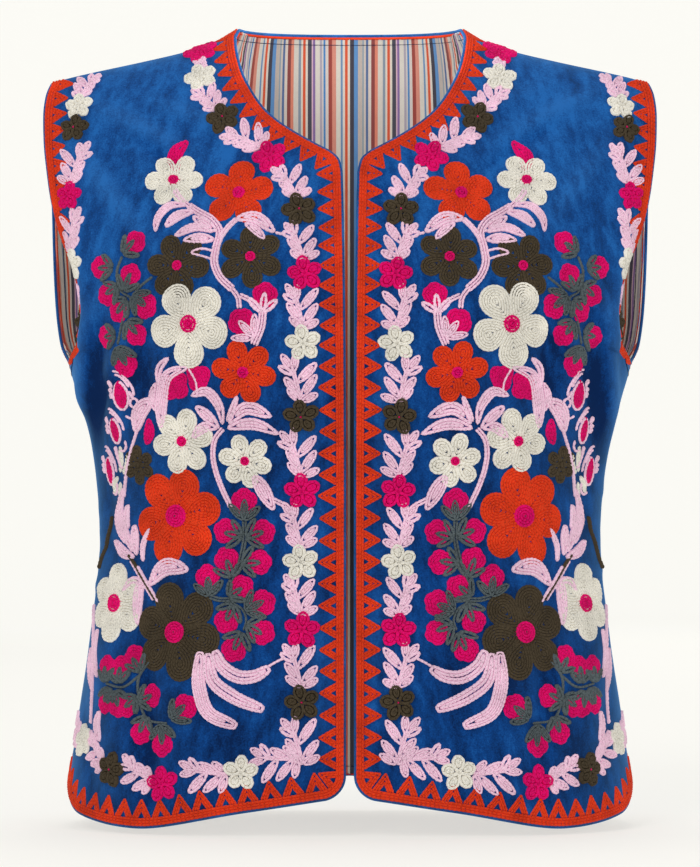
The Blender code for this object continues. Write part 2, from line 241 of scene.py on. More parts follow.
# Below the arm the front rolls in at its armhole: its edge lies some degrees further round, drawn in
# from the form by the roll, and inside it is a slight ridge where the cloth turns.
ARM_TURN, ARM_RIDGE, ARM_ROLL, ARM_FOLD_IN = 7.0, 1.8, 9.0, 23.0
ARM_RIDGE_WIDTH = 10.0
ARM_ROLLED = 0.85  # the share of the armhole's length, from the underarm, that the roll lies beside
FAR_OFF = 99.0  # stands for a place that the roll doesn't reach
ROLL_STARTS, ROLL_ENDS = (-240.0, 20.0), (-172.0, 42.0)  # a height, and how far above it that takes
ARM_AREA = (130.0, -300.0, -95.0)  # the roll is within this x, and between these heights
# Near the seams the cloth can't fold: degrees from the side seam, which frees it by so far above the
# underarm, and millimetres down from the shoulder seam.
SIDE_SEAM_HOLD, SIDE_SEAM_FREED, SHOULDER_HOLD = 13.0, 60.0, 34.0
# How far the front's creases are moved right and up on each hand, and their share of the height.
CREASES_MOVED = {1: (4, -6, 0.85), -1: (-3, 5, 1.1)}
ANGLE_STEP, COURSE_STEP = 0.25, 1.0  # degrees and millimetres between the form's stored points
LAST_COURSE = 650
FIND_ROUNDS = 14  # in which a place's level is worked out, each nearer than the last
TURN_IN = 60.0  # how far the courses crowd at the shoulder, where the cloth lies nearly flat
LEVEL_FROM = -220.0  # courses are level below this height, and follow the shoulder line above it


def height_of(course):
    """The level of a course before it follows the shoulder line: 0 at the ridge, then slowly at first."""
    return -(course**2) / (course + TURN_IN)


def course_of(level):
    """The reverse of height_of."""
    drop = np.maximum(-level, 0)
    return (drop + np.sqrt(drop**2 + 4 * TURN_IN * drop)) / 2


def following(level):
    """How far a course at that level follows the shoulder line."""
    return eased(1 - level / LEVEL_FROM)


class Form:
    """Half of the front or back of the waistcoat, on the wearer's left (hand 1) or right (hand -1).

    A place is an angle round the body in degrees, 0 at the middle and 90 at the side seam, and a course
    down the cloth in millimetres, 0 at the shoulder. The class keeps each place's point, its outward
    normal and how long a step there is, on a fine grid, and reads between the grid's points."""

    def __init__(self, side, hand):
        self.side, self.hand = side, hand
        self.out = -1 if side == "front" else 1
        angle, course = np.meshgrid(
            np.arange(0, 90 + ANGLE_STEP / 2, ANGLE_STEP), np.arange(0, LAST_COURSE + 1, COURSE_STEP)
        )
        point = np.stack(self.body_point(angle, course), axis=-1)
        normal = self.normals(point)
        # The height of the creases, kept for the velvet's painted shade in troughs and painted highlight on
        # ridges.
        lie = self.creases(point[..., 0], point[..., 2]) * self.free(angle, course, point[..., 2])
        point = point + self.relief(point, angle, course)[..., None] * normal
        round_step = np.gradient(point, ANGLE_STEP, axis=1)
        down_step = np.gradient(point, COURSE_STEP, axis=0)
        stretch = np.maximum(np.linalg.norm(round_step, axis=-1), 1e-6)
        sideways = round_step / stretch[..., None]
        upward = np.cross(sideways, normal)
        slant = (down_step * sideways).sum(-1)
        fall = np.maximum(-(down_step * upward).sum(-1), 1e-3)
        self.table = np.concatenate([point, normal, np.stack([stretch, slant, fall, lie], axis=-1)], axis=-1)

    def body_point(self, angle, course):
        """x, depth and z: the ring round the body is a superellipse, whose depth falls to nothing at the
        ridge as a power of the sine of the turn over the shoulder."""
        level, side = height_of(course), self.side
        x = half_width(level, side) * np.abs(np.sin(np.radians(angle))) ** (2 / ROUNDNESS)
        z = level + ridge(x) * following(level)
        across = np.clip(x / half_width(z, side), 0, 1) ** ROUNDNESS
        turn = np.arccos(1 - np.clip((ridge(x) - z) / TURN_HEIGHT, 0, 1))
        reach = (1 - across) ** (1 / ROUNDNESS) * np.sin(turn) ** TURN_POWER
        return x, smooth(z, DEPTH["z"], DEPTH[side]) * reach + SEAM_HALF_GAP, z

    @staticmethod
    def normals(point):
        """Cross product of the steps down and round; on the middle line and the seams it keeps to their
        plane."""
        normal = np.cross(np.gradient(point, axis=1), -np.gradient(point, axis=0))
        normal = np.where(normal[..., 1:2] < 0, -normal, normal)
        normal[:, 0, 0] = 0
        normal[:, -1] = (1, 0, 0)
        normal[0, :, 1] = 0
        return normal / np.maximum(np.linalg.norm(normal, axis=-1, keepdims=True), 1e-9)

    def creases(self, x, z):
        """Height of the creases, which are not quite the same on the two sides."""
        if self.side == "back":
            return bells(BACK_CREASES, x * self.hand, z)
        right, up, share = CREASES_MOVED[self.hand]
        return share * bells(FRONT_CREASES, x + right, z + up)

    def relief(self, point, angle, course):
        """Height of the folds and creases, which die away at the side seam and the shoulder seam."""
        x, z = point[..., 0], point[..., 2]
        height = bells(FRONT_FOLDS if self.side == "front" else BACK_FOLDS, x, z) + self.creases(x, z)
        if self.side == "back":
            return height * self.free(angle, course, z)
        by_arm = (x > ARM_AREA[0]) & (z > ARM_AREA[1]) & (z < ARM_AREA[2])
        edge = np.stack(self.body_point(*self.armhole(np.linspace(0, ARM_ROLLED, 90))), axis=-1)
        inside = np.full_like(z, FAR_OFF)
        inside[by_arm] = np.linalg.norm(point[by_arm][:, None] - edge, axis=-1).min(axis=1)
        fold = np.exp(-(((inside - ARM_FOLD_IN) / ARM_RIDGE_WIDTH) ** 2))
        roll = 1 - eased(inside / ARM_FOLD_IN)
        height += self.rolled(z) * (ARM_RIDGE * fold - ARM_ROLL * roll)
        return height * self.free(angle, course, z)

    @staticmethod
    def rolled(z):
        """How far the front rolls in at its armhole at that height."""
        (low, low_rise), (high, high_rise) = ROLL_STARTS, ROLL_ENDS
        return eased((z - low) / low_rise) * (1 - eased((z - high) / high_rise))

    def armhole(self, t):
        """The places round the armhole from the underarm, at a share of its length."""
        x, z = along_table(FRONT_ARMHOLE if self.side == "front" else BACK_ARMHOLE, t)
        angle, course = self.find(x, z)
        return angle + (ARM_TURN * self.rolled(z) if self.side == "front" else 0), course

    def free(self, angle, course, z):
        """How far the cloth is free to fold: not at the shoulder seam, nor at the side seam."""
        beside_seam = 1 - eased((90 - angle) / SIDE_SEAM_HOLD)
        beside_seam = beside_seam * (1 - eased((z - UNDERARM) / SIDE_SEAM_FREED))
        return eased(course / SHOULDER_HOLD) * (1 - beside_seam)

    def read(self, angle, course):
        """What the form keeps at these places, by bilinear reading: point 3, normal 3, stretch, slant, fall,
        and the height of the creases."""
        rows, cols = self.table.shape[:2]
        i = np.clip(np.asarray(angle, float) / ANGLE_STEP, 0, cols - 1)
        j = np.clip(np.asarray(course, float) / COURSE_STEP, 0, rows - 1)
        i0, j0 = np.minimum(i.astype(int), cols - 2), np.minimum(j.astype(int), rows - 2)
        s, t = (i - i0)[..., None], (j - j0)[..., None]
        table = self.table
        top = table[j0, i0] * (1 - s) + table[j0, i0 + 1] * s
        low = table[j0 + 1, i0] * (1 - s) + table[j0 + 1, i0 + 1] * s
        return top * (1 - t) + low * t

    def find(self, x, z):
        """The place whose point has that x and z, before any folds: the level is worked out in turn with
        the height that the shoulder line adds."""
        x, z = np.asarray(x, float), np.asarray(z, float)
        level = z
        for _ in range(FIND_ROUNDS):
            level = np.minimum(z - ridge(x) * following(level), 0)
        share = np.clip(x / half_width(level, self.side), 0, 1)
        return np.degrees(np.arcsin(share ** (ROUNDNESS / 2))), course_of(level)

    def step(self, angle, course, right, up):
        """The place a short way off, given as lengths in the cloth: right is away from the middle line."""
        stretch, slant, fall = np.moveaxis(self.read(angle, course)[..., 6:9], -1, 0)
        down = -up / fall
        return angle + (right - slant * down) / stretch, course + down

    def walk(self, angle, course, heading, lengths):
        """Places along a line that keeps its heading, in radians up from the sideways direction."""
        way = [(float(angle), float(course))]
        for size in np.diff(lengths, prepend=0):
            way.append(self.step(*way[-1], size * np.cos(heading), size * np.sin(heading)))
        return np.array(way[1:], float).T

    def run(self, angle, course):
        """Length from the first place to each, and the direction there as a unit step right and up."""
        middle = self.read((angle[1:] + angle[:-1]) / 2, (course[1:] + course[:-1]) / 2)[:, 6:]
        turn, down = np.diff(angle), np.diff(course)
        right, up = middle[:, 0] * turn + middle[:, 1] * down, -middle[:, 2] * down
        size = np.hypot(right, up)
        length = np.concatenate([[0], np.cumsum(size)])
        ahead = np.stack([right, up]) / np.maximum(size, 1e-9)
        ahead = np.concatenate([ahead[:, :1], (ahead[:, 1:] + ahead[:, :-1]) / 2, ahead[:, -1:]], axis=1)
        return length, ahead / np.maximum(np.hypot(*ahead), 1e-9)

    def beside(self, spine, along, off):
        """Places that far along a spine of places, and that far to its left."""
        length, ahead = self.run(*spine)
        angle, course, right, up = (np.interp(along, length, row) for row in (*spine, *ahead))
        past = np.maximum(along - length[-1], 0) + np.minimum(along, 0)
        return self.step(angle, course, right * past - up * off, up * past + right * off)

    def place(self, angle, course, height):
        """The points at these places, that far out from the cloth, in metres in the shared frame."""
        kept = self.read(angle, course)
        point = kept[..., :3] + np.asarray(height)[..., None] * kept[..., 3:6]
        return point * (self.hand * MM, self.out * MM, MM), kept[..., 3:6] * (self.hand, self.out, 1)

    def inner_edge(self, v):
        """The places along the front edge and then the neckline; on the back, the middle line."""
        if self.side == "front":
            x, z = two_stretches(
                v, lambda t: along_table(FRONT_EDGE, t), lambda t: along_table(NECKLINE, t), NECKLINE_FROM
            )
        else:
            x, z = np.zeros_like(v), BACK_CENTRE_FOOT + (BACK_NECK_HEIGHT - BACK_CENTRE_FOOT) * v
        return self.find(x, z)

    def outer_edge(self, v):
        """The places up the side seam and then round the armhole."""

        def seam(t):
            z = SIDE_SEAM_FOOT + (UNDERARM - SIDE_SEAM_FOOT) * t
            return np.stack(self.find(half_width(z, self.side), z))

        return two_stretches(v, seam, lambda t: np.stack(self.armhole(t)), ARMHOLE_FROM)

    def panel(self, u, v):
        """The place at u from the inner to the outer edge and v from the hem to the top. Rows run straight
        between the edges, the lowest hangs in the hem's curve, and on the back the highest follows the
        neck, a parabola."""
        inner, outer = self.inner_edge(v), self.outer_edge(v)
        angle = inner[0] + (outer[0] - inner[0]) * u
        course = inner[1] + (outer[1] - inner[1]) * u
        foot = self.inner_edge(np.zeros_like(v))[1] * (1 - u) + self.outer_edge(np.zeros_like(v))[1] * u
        rise = foot - course
        hang = smooth(u, HEM["share"], HEM[self.side]) * (1 - eased(rise / HEM_FADE))
        if self.side == "front":
            x = self.read(angle, course)[..., 0]
            near = np.clip(1 - (x - FRONT_EDGE["x"][0]) / HEM_CORNER, 0, 1)
            hang = hang - HEM_CORNER * (1 - np.sqrt(1 - near**2)) * (1 - eased(rise / HEM_CORNER / 2))
            return angle, course + hang
        x = np.minimum(half_width(0, "back") * np.sin(np.radians(angle)) ** (2 / ROUNDNESS), NECK_X)
        neck = self.find(x, BACK_NECK_HEIGHT * (1 - (x / NECK_X) ** 2))[1]
        straight = self.inner_edge(np.ones_like(v))[1] * (1 - u)
        return angle, course + hang + (neck - straight) * eased((v - NECK_SWAY_FROM) / (1 - NECK_SWAY_FROM))

    def neck_corner(self):
        """Where the back's neck meets its shoulder, as a share of the way to the armhole."""
        return self.find(NECK_X, 0)[0] / self.outer_edge(np.array([1.0]))[0][0]


# ---------------------------------------------------------------------------- meshes


def make_mesh(name, points, faces, materials, face_material=None, corner_uv=None, smooth_angle=None):
    """A piece from arrays: points in metres, faces as rows of corners, and one UV pair a face corner."""
    mesh = bpy.data.meshes.new(name)
    faces = np.asarray(faces, np.int32)
    corners = faces.shape[1]
    mesh.vertices.add(len(points))
    mesh.vertices.foreach_set("co", np.asarray(points, np.float32).ravel())
    mesh.loops.add(faces.size)
    mesh.loops.foreach_set("vertex_index", faces.ravel())
    mesh.polygons.add(len(faces))
    mesh.polygons.foreach_set("loop_start", np.arange(0, faces.size, corners, dtype=np.int32))
    if face_material is not None:
        mesh.polygons.foreach_set("material_index", np.asarray(face_material, np.int32))
    if corner_uv is not None:
        mesh.uv_layers.new(name="cloth").data.foreach_set("uv", np.asarray(corner_uv, np.float32).ravel())
    mesh.update(calc_edges=True)
    mesh.validate()
    mesh.shade_smooth()
    if smooth_angle is not None:
        mesh.set_sharp_from_angle(angle=np.radians(smooth_angle))
    for material in materials:
        mesh.materials.append(material)
    piece = bpy.data.objects.new(name, mesh)
    bpy.context.scene.collection.objects.link(piece)
    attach(piece, "root")
    return piece


def faced_out(points, faces, outward):
    """The faces, each turned so that it looks along the outward directions of its corners."""
    a, b, c = (points[faces[:, k]] for k in (0, 1, 2))
    turned = (np.cross(b - a, c - a) * outward[faces].mean(axis=1)).sum(-1) < 0
    return np.where(turned[:, None], faces[:, ::-1], faces), turned


def grid_faces(rows, cols):
    """The four corners of each cell of a grid of points."""
    index = np.arange(rows * cols).reshape(rows, cols)
    return np.stack([index[:-1, :-1], index[:-1, 1:], index[1:, 1:], index[1:, :-1]], axis=-1).reshape(-1, 4)


def ring_faces(rows, cols):
    """The four corners of each cell between rings of points that lie one after another."""
    index = np.arange(rows * cols).reshape(rows, cols)
    after = np.roll(index, -1, axis=1)
    return np.stack([index[:-1], after[:-1], after[1:], index[1:]], axis=-1).reshape(-1, 4)


def cloth_wall(name, halves, outer_height, inner_height, material):
    """A closed wall of cloth between two heights on the form. Halves are (form, angle, course) grids of
    places that lie side by side; where there are two, they share the middle line. Its UV map holds metres
    round the body and up, and its attribute "lie" the height of the creases."""
    layers = []
    for height in (outer_height, inner_height):
        points, normals, lengths, lies = [], [], [], []
        for form, angle, course in halves:
            at, out = form.place(angle, course, height)
            lie = form.read(angle, course)[..., 9]
            round_body = np.cumsum(np.linalg.norm(np.diff(at, axis=1, prepend=at[:, :1]), axis=-1), axis=1)
            if len(halves) == 2 and form.hand < 0:
                at, out, lie, round_body = at[:, :0:-1], out[:, :0:-1], lie[:, :0:-1], -round_body[:, :0:-1]
            points.append(at)
            normals.append(out)
            lies.append(lie)
            lengths.append(round_body * form.hand if len(halves) == 1 else round_body)
        layers.append([np.concatenate(part, axis=1) for part in (points, normals, lengths, lies)])
    rows, cols = layers[0][0].shape[:2]
    outside = grid_faces(rows, cols)
    points = np.concatenate([layer[0].reshape(-1, 3) for layer in layers])
    outward = np.concatenate([layers[0][1].reshape(-1, 3), -layers[1][1].reshape(-1, 3)])
    walls, _ = faced_out(points, np.concatenate([outside, outside + rows * cols]), outward)
    grid = np.arange(rows * cols).reshape(rows, cols)
    border = np.concatenate([grid[0], grid[1:, -1], grid[-1, -2::-1], grid[-2:0:-1, 0]])
    after = np.roll(border, -1)
    rim = np.stack([border, border + rows * cols, after + rows * cols, after], axis=-1)
    # The rim faces away from the panel: its corners' outward direction is taken from the grid beside it.
    beside = np.concatenate([grid[1], grid[1:, -2], grid[-2, -2::-1], grid[-2:0:-1, 1]])
    away = np.zeros_like(points)
    away[border] = away[border + rows * cols] = points[border] - points[beside]
    rim, _ = faced_out(points, rim, away)
    faces = np.concatenate([walls, rim])
    across = np.concatenate([layer[2].ravel() for layer in layers])
    uv = np.stack([across, points[:, 2]], axis=-1)[faces]
    piece = make_mesh(name, points, faces, [material], corner_uv=uv, smooth_angle=50)
    # The attribute "lie" holds the height of the creases, which the velvet turns into painted shade in
    # troughs and a painted highlight on ridges.
    lie = np.concatenate([layer[3].ravel() for layer in layers])
    piece.data.attributes.new("lie", "FLOAT", "POINT").data.foreach_set("value", lie.astype(np.float32))
    return piece


INSET_GROWS = 0.03  # the row share in which an inset grows from the side seam into the armhole


def panel_grid(form, cols, rows, inset=0.0):
    """Places on a grid over a panel, drawn in from its open edges by the inset. On the back one column
    ends just where the neck meets the shoulder."""
    u, v = np.linspace(0, 1, cols + 1), np.linspace(0, 1, rows + 1)
    if form.side == "back":
        corner = form.neck_corner()
        under = round(cols * corner)
        u = np.concatenate([np.linspace(0, corner, under + 1), np.linspace(corner, 1, cols - under + 1)[1:]])
    u, v = np.meshgrid(u, v)
    if inset:
        at, _ = form.place(*form.panel(u, v), 0.0)
        across = np.linalg.norm(np.diff(at, axis=1), axis=-1).sum(axis=1, keepdims=True) / MM
        down = np.linalg.norm(np.diff(at, axis=0), axis=-1).sum(axis=0, keepdims=True) / MM
        front, armhole = form.side == "front", eased((v - ARMHOLE_FROM) / INSET_GROWS)
        low_u, high_u = (inset / across if front else 0), 1 - armhole * inset / across
        high_v = 1 if front else 1 - (u < corner) * inset / down
        u, v = low_u + (high_u - low_u) * u, inset / down + (high_v - inset / down) * v
    return form.panel(u, v)


# ---------------------------------------------------------------------------- chain stitches

YARN = 1.95  # from one row of chain stitches to the next
OVERLAP = 1.22  # rows are this much wider than that, so that no velvet shows between them
STITCH = 3.2
RINGS = 3  # rings of points a stitch
SECTION = np.array([-1.0, -0.5, 0.5, 1.0])  # across a row, in half widths
SECTION_RISE = np.array([-0.3, 1.0, 1.0, -0.3])  # its edges lie just under the pile
PLUMP = np.array([0.84, 1.06, 1.02])  # a stitch is pinched where the needle comes up
PLUMP_SPREAD = (0.93, 1.05)  # and each stitch has its own share of that
ROW_END = 0.5  # of the full section, at the ends of an open row
SHORTEST_ROW = 0.8
DYES = ("orange", "magenta", "pink", "cream", "brown", "grey", "navy")
HEART_STITCH, HEART_OVERLAP = 2.2, 1.3  # in the rings of a flower's heart
DOT_RADIUS, DOT_ROW, DOT_LIFT = 0.35, 0.9, 0.5  # the last stitch, in the middle of a heart

# Petals: their width as a share of a flower's radius, for five and for six on a large or a small flower;
# then how far out they are widest, how blunt they are, and where in the heart they start.
FIVE_WIDE, SIX_WIDE, SMALL_SIX_WIDE, LARGE_FLOWER = 0.74, 0.69, 0.64, 25
PETAL_BELLY, PETAL_BLUNT, PETAL_START = 1.45, 0.45, 0.45
PALE_LIFT = 0.6  # cream flowers lie over the leaves beside them
HEART_LIFT, DOTTED_HEART = 1.4, 7.5  # hearts wider than that have a brown dot
# Berries: the radius, its loss between the lobes, the flattening and the heart, as shares.
BERRY_RADIUS, BERRY_WAIST, BERRY_FLAT, BERRY_HEART = 0.42, 0.14, 0.98, 0.16
CALYX = ((-46, 0.68), (45, 0.67), (-1, 0.64))  # the swing and the share of the length of each leaf
CALYX_WIDE, CALYX_LIFT = 0.25, 1.0
# A sprig's leaves: how far up the stem each starts, how far it swings to the left of the way to the next
# flower, or to the right where flip is -1, its length and its width.
SPRIG = (
    (0.0, 64, 11.8, 5.8), (2.5, 38, 16.5, 6.3), (11.5, 38, 18.0, 6.5), (0.0, -50, 12.2, 5.8),
    (4.0, -36, 15.0, 6.3), (18.5, -37, 12.5, 5.8), (18.0, 2, 11.8, 5.6), (16.5, -62, 11.0, 5.4),
)
SPRIG_TALL, SPRIG_LEAN, SPRIG_PLACES = 20.0, -15, 12
SPRIG_STEM, SPRIG_STEM_ROW, SPRIG_LIFT = (-0.75, 0.75), 1.9, 0.3


class Sewing:
    """Rows of chain stitches on one half of the waistcoat, kept until they are made one piece."""

    def __init__(self, form, seed):
        self.form = form
        self.chance = np.random.default_rng(seed)
        self.rows = []

    def row(self, spine, dye, width=YARN, lift=0.0, closed=False, tall=1.25, stitch=STITCH, side=1):
        """One row along a spine of places: a low ridge a few faces wide, pinched at the end of each
        stitch. Side is -1 for a row on the inside of the cloth."""
        length, _ = self.form.run(*spine)
        if length[-1] < SHORTEST_ROW:
            return
        stitches = max(1, round(length[-1] / stitch))
        count = stitches * RINGS + 1
        even = np.linspace(0, length[-1], count)
        angle, course = (np.interp(even, length, part) for part in spine)
        _, ahead = self.form.run(angle, course)
        if closed:
            join = ahead[:, 0] + ahead[:, -1]
            ahead[:, 0] = ahead[:, -1] = join / max(np.hypot(*join), 1e-9)
        pulse = np.repeat(self.chance.uniform(*PLUMP_SPREAD, stitches + 1), RINGS)[:count]
        pulse = np.resize(PLUMP, count) * pulse
        if closed:
            pulse[-1] = pulse[0]
        else:
            pulse[0] *= ROW_END
            pulse[-1] = pulse[0]
        off = pulse[:, None] * SECTION * width / 2
        right, up = -ahead[1][:, None] * off, ahead[0][:, None] * off
        place = self.form.step(angle[:, None], course[:, None], right, up)
        rise = np.where(SECTION_RISE > 0, pulse[:, None] * tall * SECTION_RISE + lift, SECTION_RISE)
        along = even / STITCH + self.chance.uniform(0, 40)
        self.rows.append((*place, side * rise, along, DYES.index(dye)))

    def leaf(self, spine, width, dye, belly, blunt, lift=0.0, start=0.0):
        """A shape of that width along a spine, filled with rows that follow its outline, one in another."""
        length = self.form.run(*spine)[0][-1] - start
        lines, row_width = rings(round(length * 2) / 2, round(width * 2) / 2, belly, blunt)
        for line, closed in lines:
            self.row(self.form.beside(spine, start + line[0], line[1]), dye, row_width, lift, closed)

    def ray(self, place, heading, length):
        """A spine that runs straight from a place, with its heading in degrees."""
        return self.form.walk(*place, np.radians(heading), np.linspace(0.01, length, 13))

    def disc(self, place, radius, dye, lift, dot=None):
        """Rings of stitches one in another, as a flower's heart."""
        count = max(1, round(radius / YARN))
        for k in range(count):
            r = radius * (k + 0.5) / count
            turn = np.linspace(0, 2 * np.pi, max(9, int(r * 6)))
            spine = self.form.step(*place, r * np.cos(turn), r * np.sin(turn))
            self.row(spine, dye, radius / count * HEART_OVERLAP, lift, closed=True, stitch=HEART_STITCH)
        if dot:
            turn = np.linspace(0, 2 * np.pi, 7)
            spine = self.form.step(*place, DOT_RADIUS * np.cos(turn), DOT_RADIUS * np.sin(turn))
            self.row(spine, dot, DOT_ROW, lift + DOT_LIFT, closed=True)

    def flower(self, x, z, radius, petals, dye, heart_dye, heart, turn):
        """A flower of petals round its heart."""
        place = self.form.find(x, z)
        share = FIVE_WIDE if petals == 5 else SIX_WIDE if radius > LARGE_FLOWER else SMALL_SIX_WIDE
        lift = PALE_LIFT if dye == "cream" else 0.0
        for k in range(petals):
            size = radius * self.chance.uniform(0.95, 1.04)
            heading = turn + 360 * k / petals + self.chance.uniform(-3, 3)
            petal = self.ray(place, heading, size)
            self.leaf(petal, radius * share, dye, PETAL_BELLY, PETAL_BLUNT, lift, heart * PETAL_START)
        self.disc(place, heart, heart_dye, HEART_LIFT, dot="brown" if heart > DOTTED_HEART else None)

    def berry(self, x, z, heading, size, calyx="grey"):
        """A round berry with soft lobes, and narrow leaves that hold it from its foot. Its radius falls
        between the lobes, with the size of the cosine of two and a half turns."""
        place = self.form.find(x, z)
        turn = np.linspace(0, -2 * np.pi, 61)[:-1]
        lobes = 1 - BERRY_WAIST + BERRY_WAIST * np.abs(np.cos(2.5 * turn)) ** 0.5
        radius = size * BERRY_RADIUS * lobes
        middle = size - size * BERRY_RADIUS
        outline = np.array([middle + radius * np.cos(turn), radius * np.sin(turn) * BERRY_FLAT])
        spine = self.ray(place, heading, size)
        lines, width = fill(outline)
        for line, closed in lines:
            self.row(self.form.beside(spine, *line), "magenta", width, closed=closed)
        middle = [part[0] for part in self.form.beside(spine, np.array([middle]), np.array([0.0]))]
        self.disc(middle, size * BERRY_HEART, "magenta", lift=0.1)
        for swing, share in CALYX:
            swing += self.chance.uniform(-6, 6)
            share *= self.chance.uniform(0.95, 1.08)
            leaf = self.ray(place, heading + swing, size * share)
            self.leaf(leaf, size * CALYX_WIDE, calyx, 1.0, 0.5, CALYX_LIFT)

    def stem(self, points, dye, rows, lift):
        """Rows side by side along a smooth line through points of the front view."""
        spine = self.line(points)
        length, _ = self.form.run(*spine)
        for k in range(rows):
            off = (k - (rows - 1) / 2) * YARN
            self.row(self.form.beside(spine, length, np.full_like(length, off)), dye, lift=lift)

    def line(self, points):
        """A smooth spine of places through points of the front view, found by their chord lengths."""
        points = np.array(points, float)
        chord = np.concatenate([[0], np.cumsum(np.hypot(*np.diff(points, axis=0).T))])
        even = np.linspace(0, chord[-1], max(8, int(chord[-1] / 1.5)))
        return np.array(self.form.find(*(curve(even, chord, part) for part in points.T)))

    def sprig(self, place, heading, scale, flip):
        """A pink garland sprig: a leaning stem with looped leaves in two tiers."""
        lean = np.radians(heading + SPRIG_LEAN * flip)
        stem = self.form.walk(*place, lean, np.linspace(0.01, SPRIG_TALL * scale, SPRIG_PLACES))
        length, _ = self.form.run(*stem)
        for off in SPRIG_STEM:
            self.row(self.form.beside(stem, length, np.full_like(length, off)), "pink", SPRIG_STEM_ROW)
        for at, swing, length, width in SPRIG:
            foot = [np.interp(at / SPRIG_TALL, np.linspace(0, 1, SPRIG_PLACES), part) for part in stem]
            swing += self.chance.uniform(-5, 5)
            length *= scale * self.chance.uniform(0.93, 1.06)
            leaf = self.ray(foot, heading + swing * flip, length)
            self.leaf(leaf, width * scale**0.3, "pink", 1.15, 0.5, SPRIG_LIFT)

    def piece(self, name, materials):
        """All rows as one mesh, with the stitch count along and the share across as its UV map."""
        width = len(SECTION)
        sizes = [len(row[3]) for row in self.rows]
        firsts = np.concatenate([[0], np.cumsum(sizes)])[:-1]
        angle, course, rise = (np.concatenate([row[k] for row in self.rows]) for k in range(3))
        points, outward = self.form.place(angle, course, rise)
        ring = np.concatenate([first + np.arange(size - 1) for first, size in zip(firsts, sizes)])
        along = np.concatenate([row[3] for row in self.rows])
        dye = np.concatenate([np.full(size - 1, row[4]) for size, row in zip(sizes, self.rows)])
        k = np.arange(width - 1)
        a = ring[:, None] * width + k
        faces = np.stack([a, a + 1, a + 1 + width, a + width], axis=-1).reshape(-1, 4)
        low, high = along[ring][:, None] + 0 * k, along[ring + 1][:, None] + 0 * k
        left, right = 0 * low + k / (width - 1), 0 * low + (k + 1) / (width - 1)
        uv = np.stack([low, left, low, right, high, right, high, left], axis=-1).reshape(-1, 4, 2)
        outward = outward.reshape(-1, 3) * np.sign(rise.max())
        flat = points.reshape(-1, 3)
        faces, turned = faced_out(flat, faces, outward)
        uv = np.where(turned[:, None, None], uv[:, ::-1], uv)
        piece = make_mesh(name, flat, faces, materials, np.repeat(dye, width - 1), uv)


KNOWN_RINGS = {}  # what rings() gave before, by what it was asked
OUTLINE_STEP = 0.6  # between the points of an outline that is filled
WIDEST_PITCH = 1.12  # rows may lie this much further apart than usual, to fill a shape evenly
CLEAR_SLACK = 0.04  # a moved point may come this much nearer to the outline than it was moved
SLENDER = 0.75 * YARN  # a shape less deep than this has one row down its middle


def rings(length, width, belly, blunt):
    """Rows that fill a leaf's outline, as (along, off) lines. Its half width is a sine of the share of its
    length, raised to the power blunt; belly moves its widest place."""
    key = length, width, belly, blunt
    if key not in KNOWN_RINGS:
        share = (1 - np.cos(np.linspace(0, np.pi, 41))) / 2
        half = width / 2 * np.sin(np.pi * share**belly) ** blunt
        half[-1] = 0
        outline = np.concatenate([[share * length, half], [share[-2:0:-1] * length, -half[-2:0:-1]]], axis=1)
        KNOWN_RINGS[key] = fill(outline)
    return KNOWN_RINGS[key]


def fill(outline):
    """Lines one in another inside an outline, which runs clockwise, and whether each is closed; then the
    width of their rows. At each depth the line is the outline moved in along its normals, without the
    points that come nearer to another part of it."""
    closed = np.concatenate([outline, outline[:, :1]], axis=1)
    length = np.concatenate([[0], np.cumsum(np.hypot(*np.diff(closed)))])
    even = np.linspace(0, length[-1], max(24, int(length[-1] / OUTLINE_STEP)) + 1)[:-1]
    edge = np.array([np.interp(even, length, part) for part in closed])
    ahead = np.roll(edge, -1, axis=1) - np.roll(edge, 1, axis=1)
    inward = np.array([ahead[1], -ahead[0]]) / np.maximum(np.hypot(*ahead), 1e-9)
    low, high = edge[0].min(), edge[0].max()
    middle = np.linspace(low, high, 60)
    depth = np.hypot(edge[0][:, None] - middle, edge[1][:, None] - 0 * middle).min(axis=0)
    deepest = depth.max()
    count = max(1, round(deepest / YARN))
    spacing = min(deepest / count, YARN * WIDEST_PITCH)
    lines = []
    for inset in (np.arange(count) + 0.5) * spacing:
        moved = edge + inset * inward
        away = np.hypot(edge[0][:, None] - moved[0], edge[1][:, None] - moved[1]).min(axis=0)
        kept = moved[:, away >= inset - CLEAR_SLACK]
        if kept.shape[1] < 4 or deepest < SLENDER:
            inside = middle[depth >= inset * 0.9]
            if len(inside) > 3:
                lines.append((np.array([inside, 0 * inside]), False))
        else:
            lines.append((np.concatenate([kept, kept[:, :1]], axis=1), True))
    return lines, spacing * OVERLAP


# ---------------------------------------------------------------------------- edges, border and garland

HEM_FROM = 600.0  # how far down a front's edge its hem begins
BAND_ROWS = (2.4, 4.3, 6.2)  # how far in the orange rows run beside every open edge
BAND_ROW = 2.25
BORDER_TALL = 1.1
TOOTH_BASE, TOOTH_ROW, TOOTH_ROWS = 7.0, 1.55, 3
TOOTH_SWAY, TOOTH_SPREAD = 0.03, (0.95, 1.05)  # in shares of the pitch and of the height
